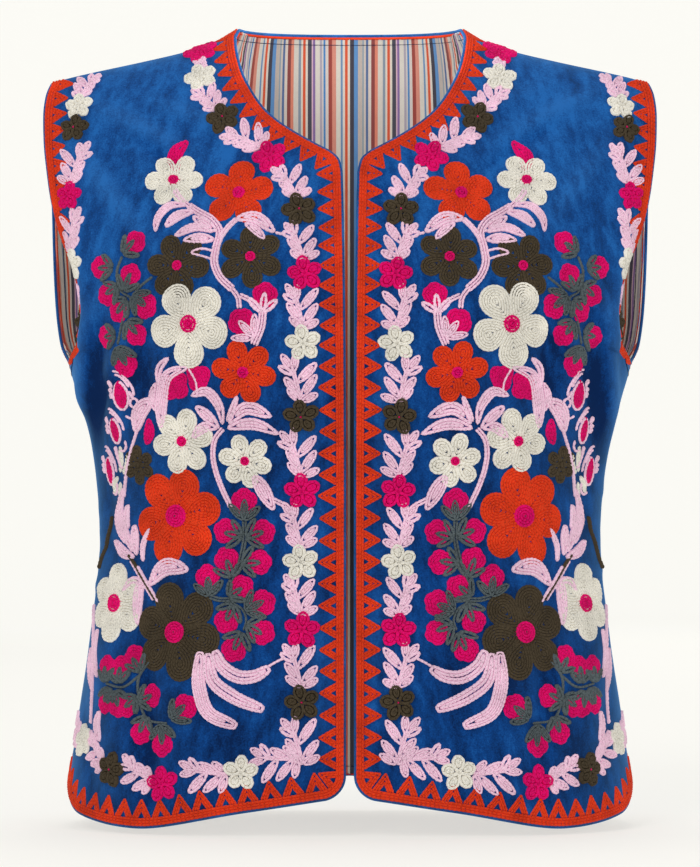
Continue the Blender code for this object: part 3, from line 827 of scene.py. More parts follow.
# How far from the underarm each row of the band starts round the armhole, and then the teeth.
UNDERARM_TAPER = {"front": (24.0, 28.0, 34.0, 40.0), "back": (8.0, 17.0, 26.0, 34.0)}
TOOTH_PITCH = {"armhole": 13.6, "front": 14.2, "neck": 14.2, "hem": 16.4}
LOWER_PITCH, LOWER_FROM = 15.4, 300.0  # along a front's edge below that length, until its hem begins
PITCH_CHANGE = 30.0  # the length along which one pitch gives way to the next
TOOTH_TALL = 0.875  # height as a share of the pitch
GARLAND_IN = 34.0  # how far the garland lies from the front edge, neck and hem
ARMHOLE_GARLAND_IN = 27.0
BACK_NECK_GARLAND_IN = 30.0
SMALL_FLOWER, SMALL_PETAL, SMALL_HEART = 13.0, 9.4, 1.0  # the radius, a petal's width, and the heart
GARLAND_LIFT, BROWN_LIFT = 1.0, 1.5
PETAL_MARK = (0.45, 0.8)  # the row along the middle of a petal, as shares of the radius
ARMHOLE_SIZE = 0.84  # of the flowers round the armholes, as a share of the others
SPRIG_AFTER, SPRIG_BEFORE = 0.78, 0.48  # where a sprig starts and ends, in radii from the two flowers
SPRIG_ROOM, LEAST_ROOM, LARGEST_SPRIG = 30.0, 12, 1.2  # its own room, the least, and the largest scale
DEEP_CORNER = HEM_CORNER - 2  # lines this deep cross themselves where the edge turns a corner
CORNER_CLEAR = 0.93  # what is kept of such a line is this share of its depth from every edge


def evenly(form, angle, course):
    """The same line of places, spaced evenly, about a millimetre apart."""
    length, _ = form.run(angle, course)
    even = np.linspace(0, length[-1], max(3, int(length[-1])))
    return np.interp(even, length, angle), np.interp(even, length, course)


def edges(form):
    """The open edges of half a panel, each as a spine with the cloth on its left."""
    t = np.linspace(0, 1, 900)
    armhole = form.panel(np.ones_like(t), ARMHOLE_FROM + (1 - ARMHOLE_FROM) * t)
    if form.side == "front":
        down = form.panel(np.zeros_like(t), 1 - t)
        hem = form.panel(t**3, np.zeros_like(t))  # places crowd at the rounded corner
        lines = {"front": [np.concatenate([a, b[1:]]) for a, b in zip(down, hem)], "armhole": armhole}
    else:
        corner = form.neck_corner()
        lines = {
            "neck": form.panel(corner * (1 - t), np.ones_like(t)),
            "hem": form.panel(t, np.zeros_like(t)),
            "armhole": armhole,
        }
    return {name: evenly(form, *line) for name, line in lines.items()}


def seams(form):
    """The lines of the side seam and the shoulder seam on half of the back."""
    t = np.linspace(0, 1, 300)
    corner = form.neck_corner()
    side = form.panel(np.ones_like(t), ARMHOLE_FROM * t)
    shoulder = form.panel(corner + (1 - corner) * t, np.ones_like(t))
    return [evenly(form, *line) for line in (side, shoulder)]


def inset_line(form, edge, depth):
    """A line that keeps that far inside an edge; where the edge turns a corner, its loops are left out."""
    length, _ = form.run(*edge)
    line = np.array(form.beside(edge, length, np.full_like(length, depth)))
    if depth < DEEP_CORNER:
        return evenly(form, *line)
    at, _ = form.place(*line, 0.0)
    rim, _ = form.place(edge[0][::4], edge[1][::4], 0.0)
    near = np.linalg.norm(at[:, None] - rim, axis=-1).min(axis=1) / MM
    return evenly(form, *line[:, near > depth * CORNER_CLEAR])


def tooth(height, base):
    """Rows of a border tooth, as lines of (along, off): from its base up to the tip and down again, one
    in another, so that a small hole is left in the middle of the base."""
    slope = np.arctan2(base / 2, height)
    share = np.linspace(-1, 1, 25)
    for depth in (np.arange(TOOTH_ROWS) + 0.5) * TOOTH_ROW:
        peak, half = height - depth / np.sin(slope), base / 2 - depth / np.cos(slope)
        yield peak * (1 - np.abs(share)), -half * share


def sew_border(sewing):
    """Three rows beside each open edge, and a line of teeth inside them."""
    form = sewing.form
    for name, edge in edges(form).items():
        for depth, skip in zip(BAND_ROWS, UNDERARM_TAPER[form.side]):
            line = np.array(inset_line(form, edge, depth))
            if name == "armhole":
                line = line[:, form.run(*line)[0] >= skip]
            sewing.row(line, "orange", width=BAND_ROW, tall=BORDER_TALL)
        base = inset_line(form, edge, TOOTH_BASE)
        length, ahead = form.run(*base)
        pitch = np.full_like(length, TOOTH_PITCH[name])
        if name == "front":
            pitch += (LOWER_PITCH - pitch) * eased((length - LOWER_FROM) / PITCH_CHANGE)
            pitch += (TOOTH_PITCH["hem"] - pitch) * eased((length - HEM_FROM) / PITCH_CHANGE)
        passed = np.concatenate([[0], np.cumsum(np.diff(length) / pitch[1:])])
        count = max(1, round(passed[-1]))
        for k in range(count):
            sway = sewing.chance.uniform(-TOOTH_SWAY, TOOTH_SWAY)
            at = np.interp((k + 0.5 + sway) / count * passed[-1], passed, length)
            if name == "armhole" and at < UNDERARM_TAPER[form.side][-1]:
                continue
            angle, course, right, up = (np.interp(at, length, row) for row in (*base, *ahead))
            size = np.interp(at, length, pitch) * passed[-1] / count
            tall = size * TOOTH_TALL * sewing.chance.uniform(*TOOTH_SPREAD)
            spine = form.walk(angle, course, np.arctan2(right, -up), np.linspace(0.01, tall + 2, 9))
            for line in tooth(tall, size):
                sewing.row(form.beside(spine, *line), "orange", TOOTH_ROW * OVERLAP, tall=BORDER_TALL)


def between(form, first, second):
    """Length and heading, in degrees, from one place to another near it."""
    spine = np.array([first, second], float).T
    length, ahead = form.run(*spine)
    return length[-1], np.degrees(np.arctan2(ahead[1, 0], ahead[0, 0]))


def sew_garland(sewing, stops, flip, size):
    """Small flowers at the stops, (place, dye or nothing) in turn, and a sprig that fills each gap. Flip
    says which way the sprigs turn their longer side: 1 is to the left of the way, and -1 to the right."""
    form = sewing.form
    for place, dye in stops:
        if dye:
            turn = 90 + sewing.chance.uniform(-14, 14)
            lift = BROWN_LIFT if dye == "brown" else GARLAND_LIFT
            for k in range(5):
                reach = SMALL_FLOWER * size * sewing.chance.uniform(0.94, 1.05)
                ray = sewing.ray(place, turn + 72 * k, reach)
                sewing.leaf(ray, SMALL_PETAL * size, dye, 1.25, 0.5, lift)
                length = np.linspace(*PETAL_MARK, 5) * SMALL_FLOWER * size
                sewing.row(form.beside(ray, length, 0 * length), dye, lift=lift)
            sewing.disc(place, SMALL_HEART, "magenta" if dye == "brown" else dye, lift + DOT_LIFT)
    for (first, dye, *_), (second, next_dye, *_) in zip(stops[:-1], stops[1:]):
        gap, heading = between(form, first, second)
        begin = SMALL_FLOWER * size * SPRIG_AFTER if dye else 0
        room = gap - begin - (SMALL_FLOWER * size * SPRIG_BEFORE if next_dye else 0)
        if room < LEAST_ROOM:
            continue
        foot = form.walk(*first, np.radians(heading), np.linspace(0.01, max(begin, 0.02), 5))[:, -1]
        sewing.sprig(foot, heading, min(room / SPRIG_ROOM, LARGEST_SPRIG) * size**0.5, flip)


def along_edge(form, edge, depth, marks):
    """Stops on a line inside an edge: each mark is a length along it and a dye."""
    line = inset_line(form, edge, depth)
    length, _ = form.run(*line)
    return [((np.interp(at, length, line[0]), np.interp(at, length, line[1])), dye) for at, dye in marks]


# ---------------------------------------------------------------------------- the embroidered field

# Flowers of a front: centre, radius, petals, dye, the heart's dye and radius, the first petal's heading.
FLOWERS = [
    (124, -115, 21.5, 6, "cream", "magenta", 4.0, 4),
    (78, -124, 26.0, 5, "orange", "magenta", 4.5, 36),
    (120, -176, 24.0, 6, "brown", "magenta", 3.7, 8),
    (69, -170, 22.5, 6, "brown", "magenta", 3.7, 28),
    (111, -216, 31.0, 5, "cream", "magenta", 6.3, -14),
    (73.5, -250, 22.4, 6, "orange", "magenta", 4.0, 13),
    (117, -298, 24.0, 6, "cream", "magenta", 4.0, 50),
    (73, -312, 19.6, 6, "cream", "magenta", 3.4, 14),
    (122, -351, 35.0, 6, "orange", "magenta", 8.0, 48),
    (122, -433, 34.5, 6, "brown", "magenta", 7.7, 15),
    (165, -414, 27.5, 6, "cream", "magenta", 6.6, 30),
    (149.5, -315, 14.0, 6, "brown", "brown", 2.4, 30),
]
# Leaves and petals: width, dye, belly, bluntness, and points from the foot to the tip.
BLADES = [
    (11.5, "magenta", 0.85, 0.6, [(122.5, -108), (124.5, -98), (115, -85)]),
    (4.4, "cream", 1.0, 0.6, [(163, -322), (162, -311), (163, -300)]),
    (4.4, "cream", 1.0, 0.6, [(161, -323), (157.5, -314), (158, -306)]),
    (4.4, "cream", 1.0, 0.6, [(163, -326), (163, -335), (162, -346)]),
    (4.4, "cream", 1.0, 0.6, [(164, -323), (167.5, -328), (168, -337)]),
    (15.0, "magenta", 1.0, 0.5, [(113, -252), (121, -258), (128, -268)]),
    (15.0, "magenta", 1.0, 0.5, [(112, -264), (119, -261), (128, -257)]),
    (14.0, "magenta", 1.0, 0.5, [(112, -247), (106, -252), (100, -261)]),
    (14.0, "magenta", 1.0, 0.5, [(109, -262), (104, -254), (97, -247)]),
    (9.0, "magenta", 1.0, 0.6, [(141.5, -282), (141, -291), (143.5, -301)]),
    (6.2, "pink", 1.2, 0.5, [(113, -133), (126, -134), (135, -143), (136.5, -152)]),
    (7.4, "pink", 1.2, 0.6, [(108, -137), (120, -141), (129.5, -149)]),
    (7.4, "pink", 1.1, 0.6, [(92, -152), (101, -147), (110.5, -141)]),
    (6.6, "pink", 1.2, 0.6, [(94, -153), (107, -149), (123, -156)]),
    (8.2, "pink", 0.9, 0.7, [(94, -158), (104, -157), (117, -159)]),
    (9.6, "pink", 0.95, 0.6, [(80, -143), (67, -142), (52, -153)]),
    (6.4, "pink", 1.1, 0.6, [(74, -146), (66, -151), (59, -158)]),
    (7.4, "pink", 1.3, 0.5, [(88, -288), (91, -272), (99, -263), (110, -266)]),
    (8.0, "pink", 1.2, 0.6, [(90, -290), (98, -281), (107, -273)]),
    (4.4, "pink", 1.0, 0.6, [(86, -286), (81, -275), (77, -264)]),
    (9.6, "pink", 1.2, 0.6, [(85, -287), (72, -275), (54, -281)]),
    (8.4, "pink", 0.9, 0.7, [(86, -289), (68, -286), (48, -294)]),
    (8.0, "pink", 1.1, 0.6, [(91, -289), (100, -288), (110, -296)]),
    (10.5, "pink", 0.85, 0.55, [(67, -322), (60, -334), (53, -347)]),
    (10.0, "pink", 0.8, 0.5, [(132, -289), (131, -268), (126, -252), (111, -246)]),
    (5.6, "pink", 1.2, 0.6, [(133, -262), (132, -246), (125, -239)]),
    (6.0, "pink", 1.0, 0.7, [(135, -278), (138.5, -267), (135, -256)]),
    (12.5, "pink", 0.95, 0.6, [(138, -269), (147, -276), (151, -292)]),
    (7.4, "pink", 0.9, 0.6, [(153, -378), (160, -360), (163, -346), (160, -330)]),
    (6.6, "pink", 1.0, 0.6, [(158, -372), (164, -358), (165, -342)]),
    (5.2, "pink", 1.1, 0.6, [(156.5, -362), (158, -351), (157, -342)]),
    (7.6, "pink", 1.15, 0.6, [(151, -380), (152, -368), (152, -357)]),
    (8.0, "pink", 1.1, 0.6, [(152, -381), (160, -378), (167, -369)]),
    (3.8, "pink", 1.1, 0.6, [(146, -387), (146, -372), (140, -358)]),
    (12.4, "pink", 1.15, 0.6, [(142, -401), (129, -387), (112.5, -389)]),
    (5.4, "pink", 0.9, 0.5, [(145, -399), (153, -397), (160, -406)]),
    (8.5, "pink", 0.9, 0.5, [(141, -399), (146.5, -400), (149.5, -412), (149.5, -429)]),
    (9.4, "pink", 1.0, 0.2, [(94, -445), (89, -456), (77, -463.5), (66, -462.5), (56, -457)]),
    (9.4, "pink", 1.0, 0.2, [(98.5, -447), (94.5, -467), (82, -477), (60, -486)]),
    (9.8, "pink", 1.0, 0.2, [(103.5, -446), (104, -472), (98.5, -488), (79, -498)]),
    (6.0, "pink", 1.0, 0.6, [(176, -432), (179, -450), (177, -468)]),
    (6.0, "pink", 1.0, 0.6, [(182, -446), (184, -462), (181, -478)]),
    (8.0, "pink", 1.0, 0.6, [(175, -490), (178, -500), (176, -512)]),
]
# Stems: dye, rows side by side, and points from end to end.
STEMS = [
    ("pink", 2, [(123, -122), (118, -129), (110, -136)]),
    ("pink", 3, [(113, -133.5), (104, -139), (97, -143), (91, -152), (93, -164), (94, -174), (90, -184),
                 (81, -193)]),
    ("pink", 2, [(91, -158), (85, -149), (79, -143)]),
    ("pink", 1, [(52, -153), (47, -154)]),
    ("pink", 1, [(124, -124), (121, -128), (117, -132)]),
    ("pink", 1, [(95, -166), (103, -164.5), (110, -167.5), (103, -169.5), (95, -172)]),
    ("pink", 2, [(82, -192), (77, -199), (76, -206)]),
    ("pink", 2, [(76, -197), (68, -201), (61, -208)]),
    ("pink", 3, [(60, -208), (61, -218), (66, -231)]),
    ("pink", 2, [(88, -289), (93.5, -296), (95.5, -307), (94, -318), (90, -330), (83, -345)]),
    ("pink", 2, [(54, -339), (50, -341), (45, -343.5)]),
    ("pink", 1, [(111, -247), (106, -256), (105, -266)]),
    ("pink", 1, [(150, -291), (155, -307), (158, -321), (160, -338)]),
    ("pink", 1, [(156, -263), (153, -268)]),
    ("pink", 1, [(138, -411), (145.5, -399), (155, -383)]),
    ("pink", 1, [(134.5, -412), (141.5, -401), (150, -387)]),
    ("brown", 1, [(136, -411), (143.5, -399.5), (151, -387), (156.5, -379)]),
    ("pink", 1, [(57, -456), (52, -453), (46, -450)]),
    ("pink", 1, [(166, -302), (164, -310), (161, -318)]),
    ("brown", 1, [(169.5, -352), (173, -370), (177, -390)]),
    ("pink", 1, [(180, -416), (180, -440), (181, -470), (184, -500)]),
    ("grey", 1, [(160.5, -168), (164.0, -179), (159.6, -194), (154.5, -197), (159.6, -214), (162.4, -230)]),
    ("grey", 1, [(152.4, -196), (146, -189), (138, -183)]),
    ("grey", 2, [(74, -354), (73.5, -365), (75, -375), (77, -384)]),
    ("grey", 1, [(77, -384), (81.5, -394), (84, -403), (82, -411), (75, -416.5), (72.5, -424), (74.5, -431)]),
    ("grey", 2, [(98, -407.5), (91, -409.5), (82, -409.5), (73, -410)]),
    ("grey", 1, [(141, -454), (148.4, -464), (148.4, -480), (143, -494), (126.6, -497)]),
    ("grey", 1, [(148.4, -464), (160, -473), (170, -471)]),
]
# Berries: the foot, the heading from it, and the length; then whether grey or pink leaves hold them.
BERRIES = [
    (160, -166.5, 140, 21), (167, -176, 5, 20), (158.5, -193, 111, 21), (163, -189, -30, 20),
    (152, -195.5, 216, 23), (156, -198.5, -45, 20), (164.5, -223, -8, 20), (156, -213, 234, 21),
    (162, -231, 251, 23),
    (74, -354, 90, 23), (75, -365, 16, 22), (73, -366, 162, 22), (82, -394, 70, 22.5), (76, -384, 176, 22),
    (98, -407.5, 83, 23), (85, -408, 143, 21), (73, -417.5, 154, 23), (81, -412.5, -66, 22),
    (72.5, -427, 204, 22), (75.5, -432, -66, 22.5),
    (147.5, -461.5, 60, 21), (170.5, -470.5, 88, 20), (161.4, -470.5, 88, 20), (167.9, -473.1, -78, 20),
    (163, -475, -105, 20), (149.7, -479, -42, 19), (149, -482.2, 160, 21), (123.5, -494, 139, 23),
    (143.2, -492, -74, 21), (130.5, -497.5, 268, 23),
]
BELLS = [(60.5, -209, 98, 22), (65.5, -226, 50, 24)]
# Magenta pods edged with pink, down the side: the foot, the heading, length and width.
PODS = [(160, -277, 90, 22, 16), (164.5, -301, 88, 20, 13), (170.5, -331, 93, 22, 13)]
# Pink curls round a pod, as lines of (along, off) in shares of its length and width, and the small leaves
# of the twig at its outer side: where each starts in the same shares, its swing and its length.
POD_CURLS = (
    [(1.32, -0.28), (1.26, 0.1), (1.06, 0.42), (0.78, 0.68), (0.5, 0.72)],
    [(1.2, -0.2), (1.14, 0.08), (0.98, 0.36), (0.78, 0.54)],
    [(-0.16, 0.1), (-0.24, 0.4), (-0.1, 0.68), (0.14, 0.66)],
)
POD_TWIG = ((0.72, -0.5, -40, 8.0), (0.66, -0.52, -84, 6.0), (0.42, -0.5, -60, 6.5))
TWIG_LEAF = 3.8
POD_RING, POD_RING_RADIUS = (152.5, -271.5), 3.3  # a small ring beside the topmost pod
LIFTS = {"pink": 0.8, "brown": 1.3}  # stems and leaves of these dyes lie over others
STEM_LIFT = 0.2  # of the other stems


def sew_pods(sewing):
    """The pods down the side, each edged with pink, with curls round it and a twig beside it."""
    form = sewing.form
    for x, z, heading, length, width in PODS:
        spine = sewing.ray(form.find(x, z), heading, length)
        sewing.leaf(spine, width - 5, "magenta", 1.0, 0.5, start=2)
        (outline, closed), *_ = rings(length, width, 1.0, 0.5)[0]
        sewing.row(form.beside(spine, *outline), "pink", closed=closed)
        for curl in POD_CURLS:
            along, off = np.array(curl).T
            even = np.linspace(0, len(curl) - 1, 14)
            line = [curve(even, np.arange(len(curl)), part) for part in (along * length, off * width)]
            sewing.row(form.beside(spine, *line), "pink")
        for at, off, swing, size in POD_TWIG:
            foot = [part[0] for part in form.beside(spine, np.array([at * length]), np.array([off * width]))]
            sewing.leaf(sewing.ray(foot, heading + swing, size), TWIG_LEAF, "pink", 1.3, 0.6)
    turn = np.linspace(0, 2 * np.pi, 20)
    right, up = POD_RING_RADIUS * np.cos(turn), POD_RING_RADIUS * np.sin(turn)
    sewing.row(form.step(*form.find(*POD_RING), right, up), "pink", closed=True)


def sew_leaves(sewing):
    """The stems, then the leaves, then the pods."""
    for dye, rows, points in STEMS:
        sewing.stem(points, dye, rows, LIFTS.get(dye, STEM_LIFT))
    for width, dye, belly, blunt, points in BLADES:
        sewing.leaf(sewing.line(points), width, dye, belly, blunt, LIFTS.get(dye, 0.0))
    sew_pods(sewing)


def sew_berries(sewing):
    """The berries, and then the bells, which pink leaves hold."""
    for x, z, heading, size in BERRIES:
        sewing.berry(x, z, heading, size)
    for x, z, heading, size in BELLS:
        sewing.berry(x, z, heading, size, "pink")


def sew_flowers(sewing):
    """The large flowers."""
    for flower in FLOWERS:
        sewing.flower(*flower)


# The garland of a front, from the rounded corner at its foot up to the shoulder: a place and a dye.
GARLAND = [
    (32.5, -524, None), (33.5, -481, "brown"), (33.5, -430.5, "magenta"), (34.5, -383, "cream"),
    (33.5, -333.5, "magenta"), (34, -281, "brown"), (32.5, -230, "cream"), (31.5, -181.5, "magenta"),
    (35.5, -136.5, "brown"), (43.5, -101, None), (56.5, -97.5, "magenta"), (90, -69, "brown"),
    (107, -38, "cream"), (107.5, -18, "magenta"),
]
# And from that corner along the hem to the side seam.
HEM_GARLAND = [
    (36, -520, None), (76, -530, "cream"), (130.5, -539, "magenta"), (167.5, -531, "brown"),
    (191, -512, "cream"), (203, -505, None),
]
# Round the armhole of a front: up the shoulder from the underarm.
ARMHOLE_GARLAND = [
    (198, -216, "brown"), (196.5, -172, "cream"), (200.5, -123.5, "magenta"), (197.5, -74.5, "brown"),
    (194.8, -58.0, "cream"), (189, -33, None),
]
# On the back: a length along the line inside each edge and a dye.
ARMHOLE_MARKS = [
    (0, None), (14, "brown"), (62, "cream"), (112, "magenta"), (162, "brown"), (179, "cream"), (206, None),
]
BACK_NECK_MARKS = [(10, "magenta"), (60, "cream"), (110, "brown")]
BACK_HEM_MARKS = [
    (0, "magenta"), (51, "cream"), (102, "brown"), (153, "magenta"), (204, "cream"), (255, None),
]


def sew_front_garlands(sewing):
    """The garlands of a front: up its edge and neckline, along the hem, and round the armhole."""
    form = sewing.form
    for table, flip, size in ((GARLAND, 1, 1.0), (HEM_GARLAND, -1, 1.0), (ARMHOLE_GARLAND, -1, ARMHOLE_SIZE)):
        sew_garland(sewing, [(form.find(x, z), dye) for x, z, dye in table], flip, size)


def sew_back_garlands(sewing):
    """The garlands of half of the back: inside its armhole, its neck and its hem."""
    lines = edges(sewing.form)
    for name, depth, marks, flip, size in (
        ("armhole", ARMHOLE_GARLAND_IN, ARMHOLE_MARKS, -1, ARMHOLE_SIZE),
        ("neck", BACK_NECK_GARLAND_IN, BACK_NECK_MARKS, 1, 1.0),
        ("hem", GARLAND_IN, BACK_HEM_MARKS, -1, 1.0),
    ):
        sew_garland(sewing, along_edge(sewing.form, lines[name], depth, marks), flip, size)


# ---------------------------------------------------------------------------- materials


def linear(code, alpha=False):
    """A colour from an sRGB hex code, as linear values."""
    srgb = np.array([int(code[k : k + 2], 16) for k in (1, 3, 5)]) / 255
    value = np.where(srgb <= 0.04045, srgb / 12.92, ((srgb + 0.055) / 1.055) ** 2.4)
    return tuple(value) + ((1.0,) if alpha else ())


def new_material(name):
    """A material, its node tree and its shader."""
    material = bpy.data.materials.new(name)
    material.use_nodes = True
    tree = material.node_tree
    return material, tree, tree.nodes["Principled BSDF"]


def add(tree, kind, settings=(), **links):
    """A node of that kind, with its settings and its inputs: an input, by its name or as _0 by its
    number, is a value or another node's output."""
    node = tree.nodes.new("ShaderNode" + kind)
    for name, value in dict(settings).items():
        setattr(node, name, value)
    for name, value in links.items():
        key = int(name[1:]) if name[1:].isdigit() else name.replace("_", " ")
        if isinstance(value, bpy.types.NodeSocket):
            tree.links.new(value, node.inputs[key])
        else:
            node.inputs[key].default_value = value
    return node


def ramp(tree, factor, stops, interpolation):
    """A colour ramp with stops of place and linear colour."""
    node = add(tree, "ValToRGB", Fac=factor)
    band = node.color_ramp
    band.interpolation = interpolation
    while len(band.elements) < len(stops):
        band.elements.new(0.5)
    for element, (at, colour) in zip(band.elements, stops):
        element.position, element.color = at, (*colour, 1)
    return node.outputs["Color"]


SMOOTH_STEP = {"interpolation_type": "SMOOTHSTEP"}
# From the first of these heights up to the second, the level and the unevenness of the pile go from the
# first value to the second. The level is painted light, paler above as though lit from above; the
# unevenness is the pile's own mottling.
CHEST = (-0.27, -0.14)
PAINTED_LIGHT_LEVEL, PILE_SPREAD = (0.475, 0.53), (0.68, 0.82)
PILE_STOPS = (0.41, 0.5, 0.6)  # levels of the dark, the middle and the light colour
CREASE_SHADE, CREASE_GLOW = 0.016, 0.03  # what a millimetre of crease adds to the level, as painted shade in troughs and a painted highlight on ridges, and to the painted sheen
# The painted sheen: the velvet's colour goes towards its sheen colour where it is seen edge on, by a power of
# the facing and with this share.
EDGE_POWER, EDGE_GLOW = 1.5, 0.85
# Painted sheen all over the turned edges, which stand for velvet seen edge on.
TURNED_EDGE_GLOW = 0.1


def velvet_material(look, name="cut-pile cotton velvet", sheen_all_over=0.0):
    """Cut-pile cotton velvet: the pile lies this way and that, so it is mottled dark and light. Painted light
    makes it darker towards the hem, painted shade darkens the troughs of its creases and a painted highlight
    pales their ridges, and a painted sheen makes it pale where it is seen edge on, or all over on the turned
    edges."""
    material, tree, shader = new_material(name)
    place = add(tree, "TexCoord").outputs["Object"]
    way = add(tree, "SeparateXYZ", Vector=place)
    brushed = add(tree, "Mapping", Vector=place, Scale=(1.2, 1.2, 0.6)).outputs["Vector"]
    # Streaks about 16 mm wide run down and away from the middle on both sides.
    side = add(tree, "Math", {"operation": "ABSOLUTE"}, _0=way.outputs["X"]).outputs[0]
    side = add(tree, "Math", {"operation": "MULTIPLY_ADD"}, _0=way.outputs["Z"], _1=0.6, _2=side).outputs[0]
    low = add(tree, "Math", {"operation": "MULTIPLY"}, _0=way.outputs["Z"], _1=0.22).outputs[0]
    streak = add(tree, "CombineXYZ", X=side, Y=way.outputs["X"], Z=low).outputs[0]
    streaks = add(tree, "TexNoise", Vector=streak, Scale=64.0, Detail=3.0, Roughness=0.55)
    # Patches about 35 mm wide where the pile was brushed, and marks of about 6 mm in them; both are
    # twice as tall.
    patches = add(tree, "TexNoise", Vector=brushed, Scale=24.0, Detail=5.0, Roughness=0.6, Distortion=0.7)
    marks = add(tree, "TexNoise", Vector=brushed, Scale=130.0, Detail=3.0, Roughness=0.65)
    pile = add(tree, "TexNoise", Vector=place, Scale=900.0, Detail=2.0)  # tufts about a millimetre apart
    both = add(tree, "Mix", Factor=0.5, A=patches.outputs["Fac"], B=marks.outputs["Fac"])
    both = add(tree, "Mix", Factor=0.4, A=both.outputs["Result"], B=streaks.outputs["Fac"]).outputs["Result"]
    noise = add(tree, "Mix", Factor=0.22, A=both, B=pile.outputs["Fac"]).outputs["Result"]
    noise = add(tree, "Math", {"operation": "SUBTRACT"}, _0=noise, _1=0.5).outputs[0]
    # It is more uneven on the chest and the shoulders, and painted paler there and darker towards the hem, as
    # though lit from above; painted shade makes the creases' troughs dark and a painted highlight their
    # ridges pale.
    level, spread = (
        add(
            tree, "MapRange", SMOOTH_STEP, Value=way.outputs["Z"], _1=CHEST[0], _2=CHEST[1], _3=first, _4=last
        ).outputs[0]
        for first, last in (PAINTED_LIGHT_LEVEL, PILE_SPREAD)
    )
    lie = add(tree, "Math", {"operation": "MULTIPLY_ADD"}, _0=noise, _1=spread, _2=level).outputs[0]
    # The crease height, for the painted shade in troughs and the painted highlight on ridges.
    crease = add(tree, "Attribute", {"attribute_name": "lie"}).outputs["Fac"]
    lie = add(tree, "Math", {"operation": "MULTIPLY_ADD"}, _0=crease, _1=CREASE_SHADE, _2=lie).outputs[0]
    colours = (look.velvet_dark, look.velvet_middle, look.velvet_light)
    colour = ramp(tree, lie, list(zip(PILE_STOPS, colours)), "LINEAR")
    # Painted sheen: the colour goes pale where the velvet is seen edge on, more on ridges and less in
    # troughs.
    facing = add(tree, "LayerWeight", Blend=0.22).outputs["Facing"]
    glow = add(tree, "Math", {"operation": "POWER"}, _0=facing, _1=EDGE_POWER).outputs[0]
    glow = add(tree, "Math", {"operation": "MULTIPLY_ADD"}, _0=glow, _1=EDGE_GLOW, _2=sheen_all_over).outputs[0]
    clamped = {"operation": "MULTIPLY_ADD", "use_clamp": True}
    glow = add(tree, "Math", clamped, _0=crease, _1=CREASE_GLOW, _2=glow).outputs[0]
    pale = add(tree, "Mix", {"data_type": "RGBA"}, Factor=glow, A=colour, B=(*look.velvet_edge, 1))
    tree.links.new(pale.outputs[2], shader.inputs["Base Color"])
    bump = add(tree, "Bump", Strength=0.35, Distance=0.0006, Height=pile.outputs["Fac"])
    soft = add(tree, "Bump", Strength=0.25, Distance=0.002, Height=both, Normal=bump.outputs["Normal"])
    tree.links.new(soft.outputs["Normal"], shader.inputs["Normal"])
    shader.inputs["Roughness"].default_value = 0.9
    shader.inputs["Specular IOR Level"].default_value = 0.02
    shader.inputs["Sheen Weight"].default_value = 0.12
    shader.inputs["Sheen Roughness"].default_value = 0.35
    shader.inputs["Sheen Tint"].default_value = (*look.velvet_edge, 1)
    return material


# A dye counts as deep if its linear values are on average below this. A deep one shows its eyes and fibres
# more: the noise at which the eyes begin to open and at which they are open, how dark the painted shade in
# them is at both, and then the fibres' darkest and lightest.
DEEP_DYE = 0.4
DEEP_LOOK = (0.37, 0.6, 0.3, 1.0), (0.6, 1.25)
PALE_LOOK = (0.42, 0.64, 0.15, 0.9), (0.76, 1.2)
EYE_SHADE = 0.16  # the dye's share in the painted shade of the eyes and of the grooves between strands and rows
MIDDLE_LINE, SIDE_LINE = 0.14, 0.1  # how dark the painted shade is in the groove between strands and between rows
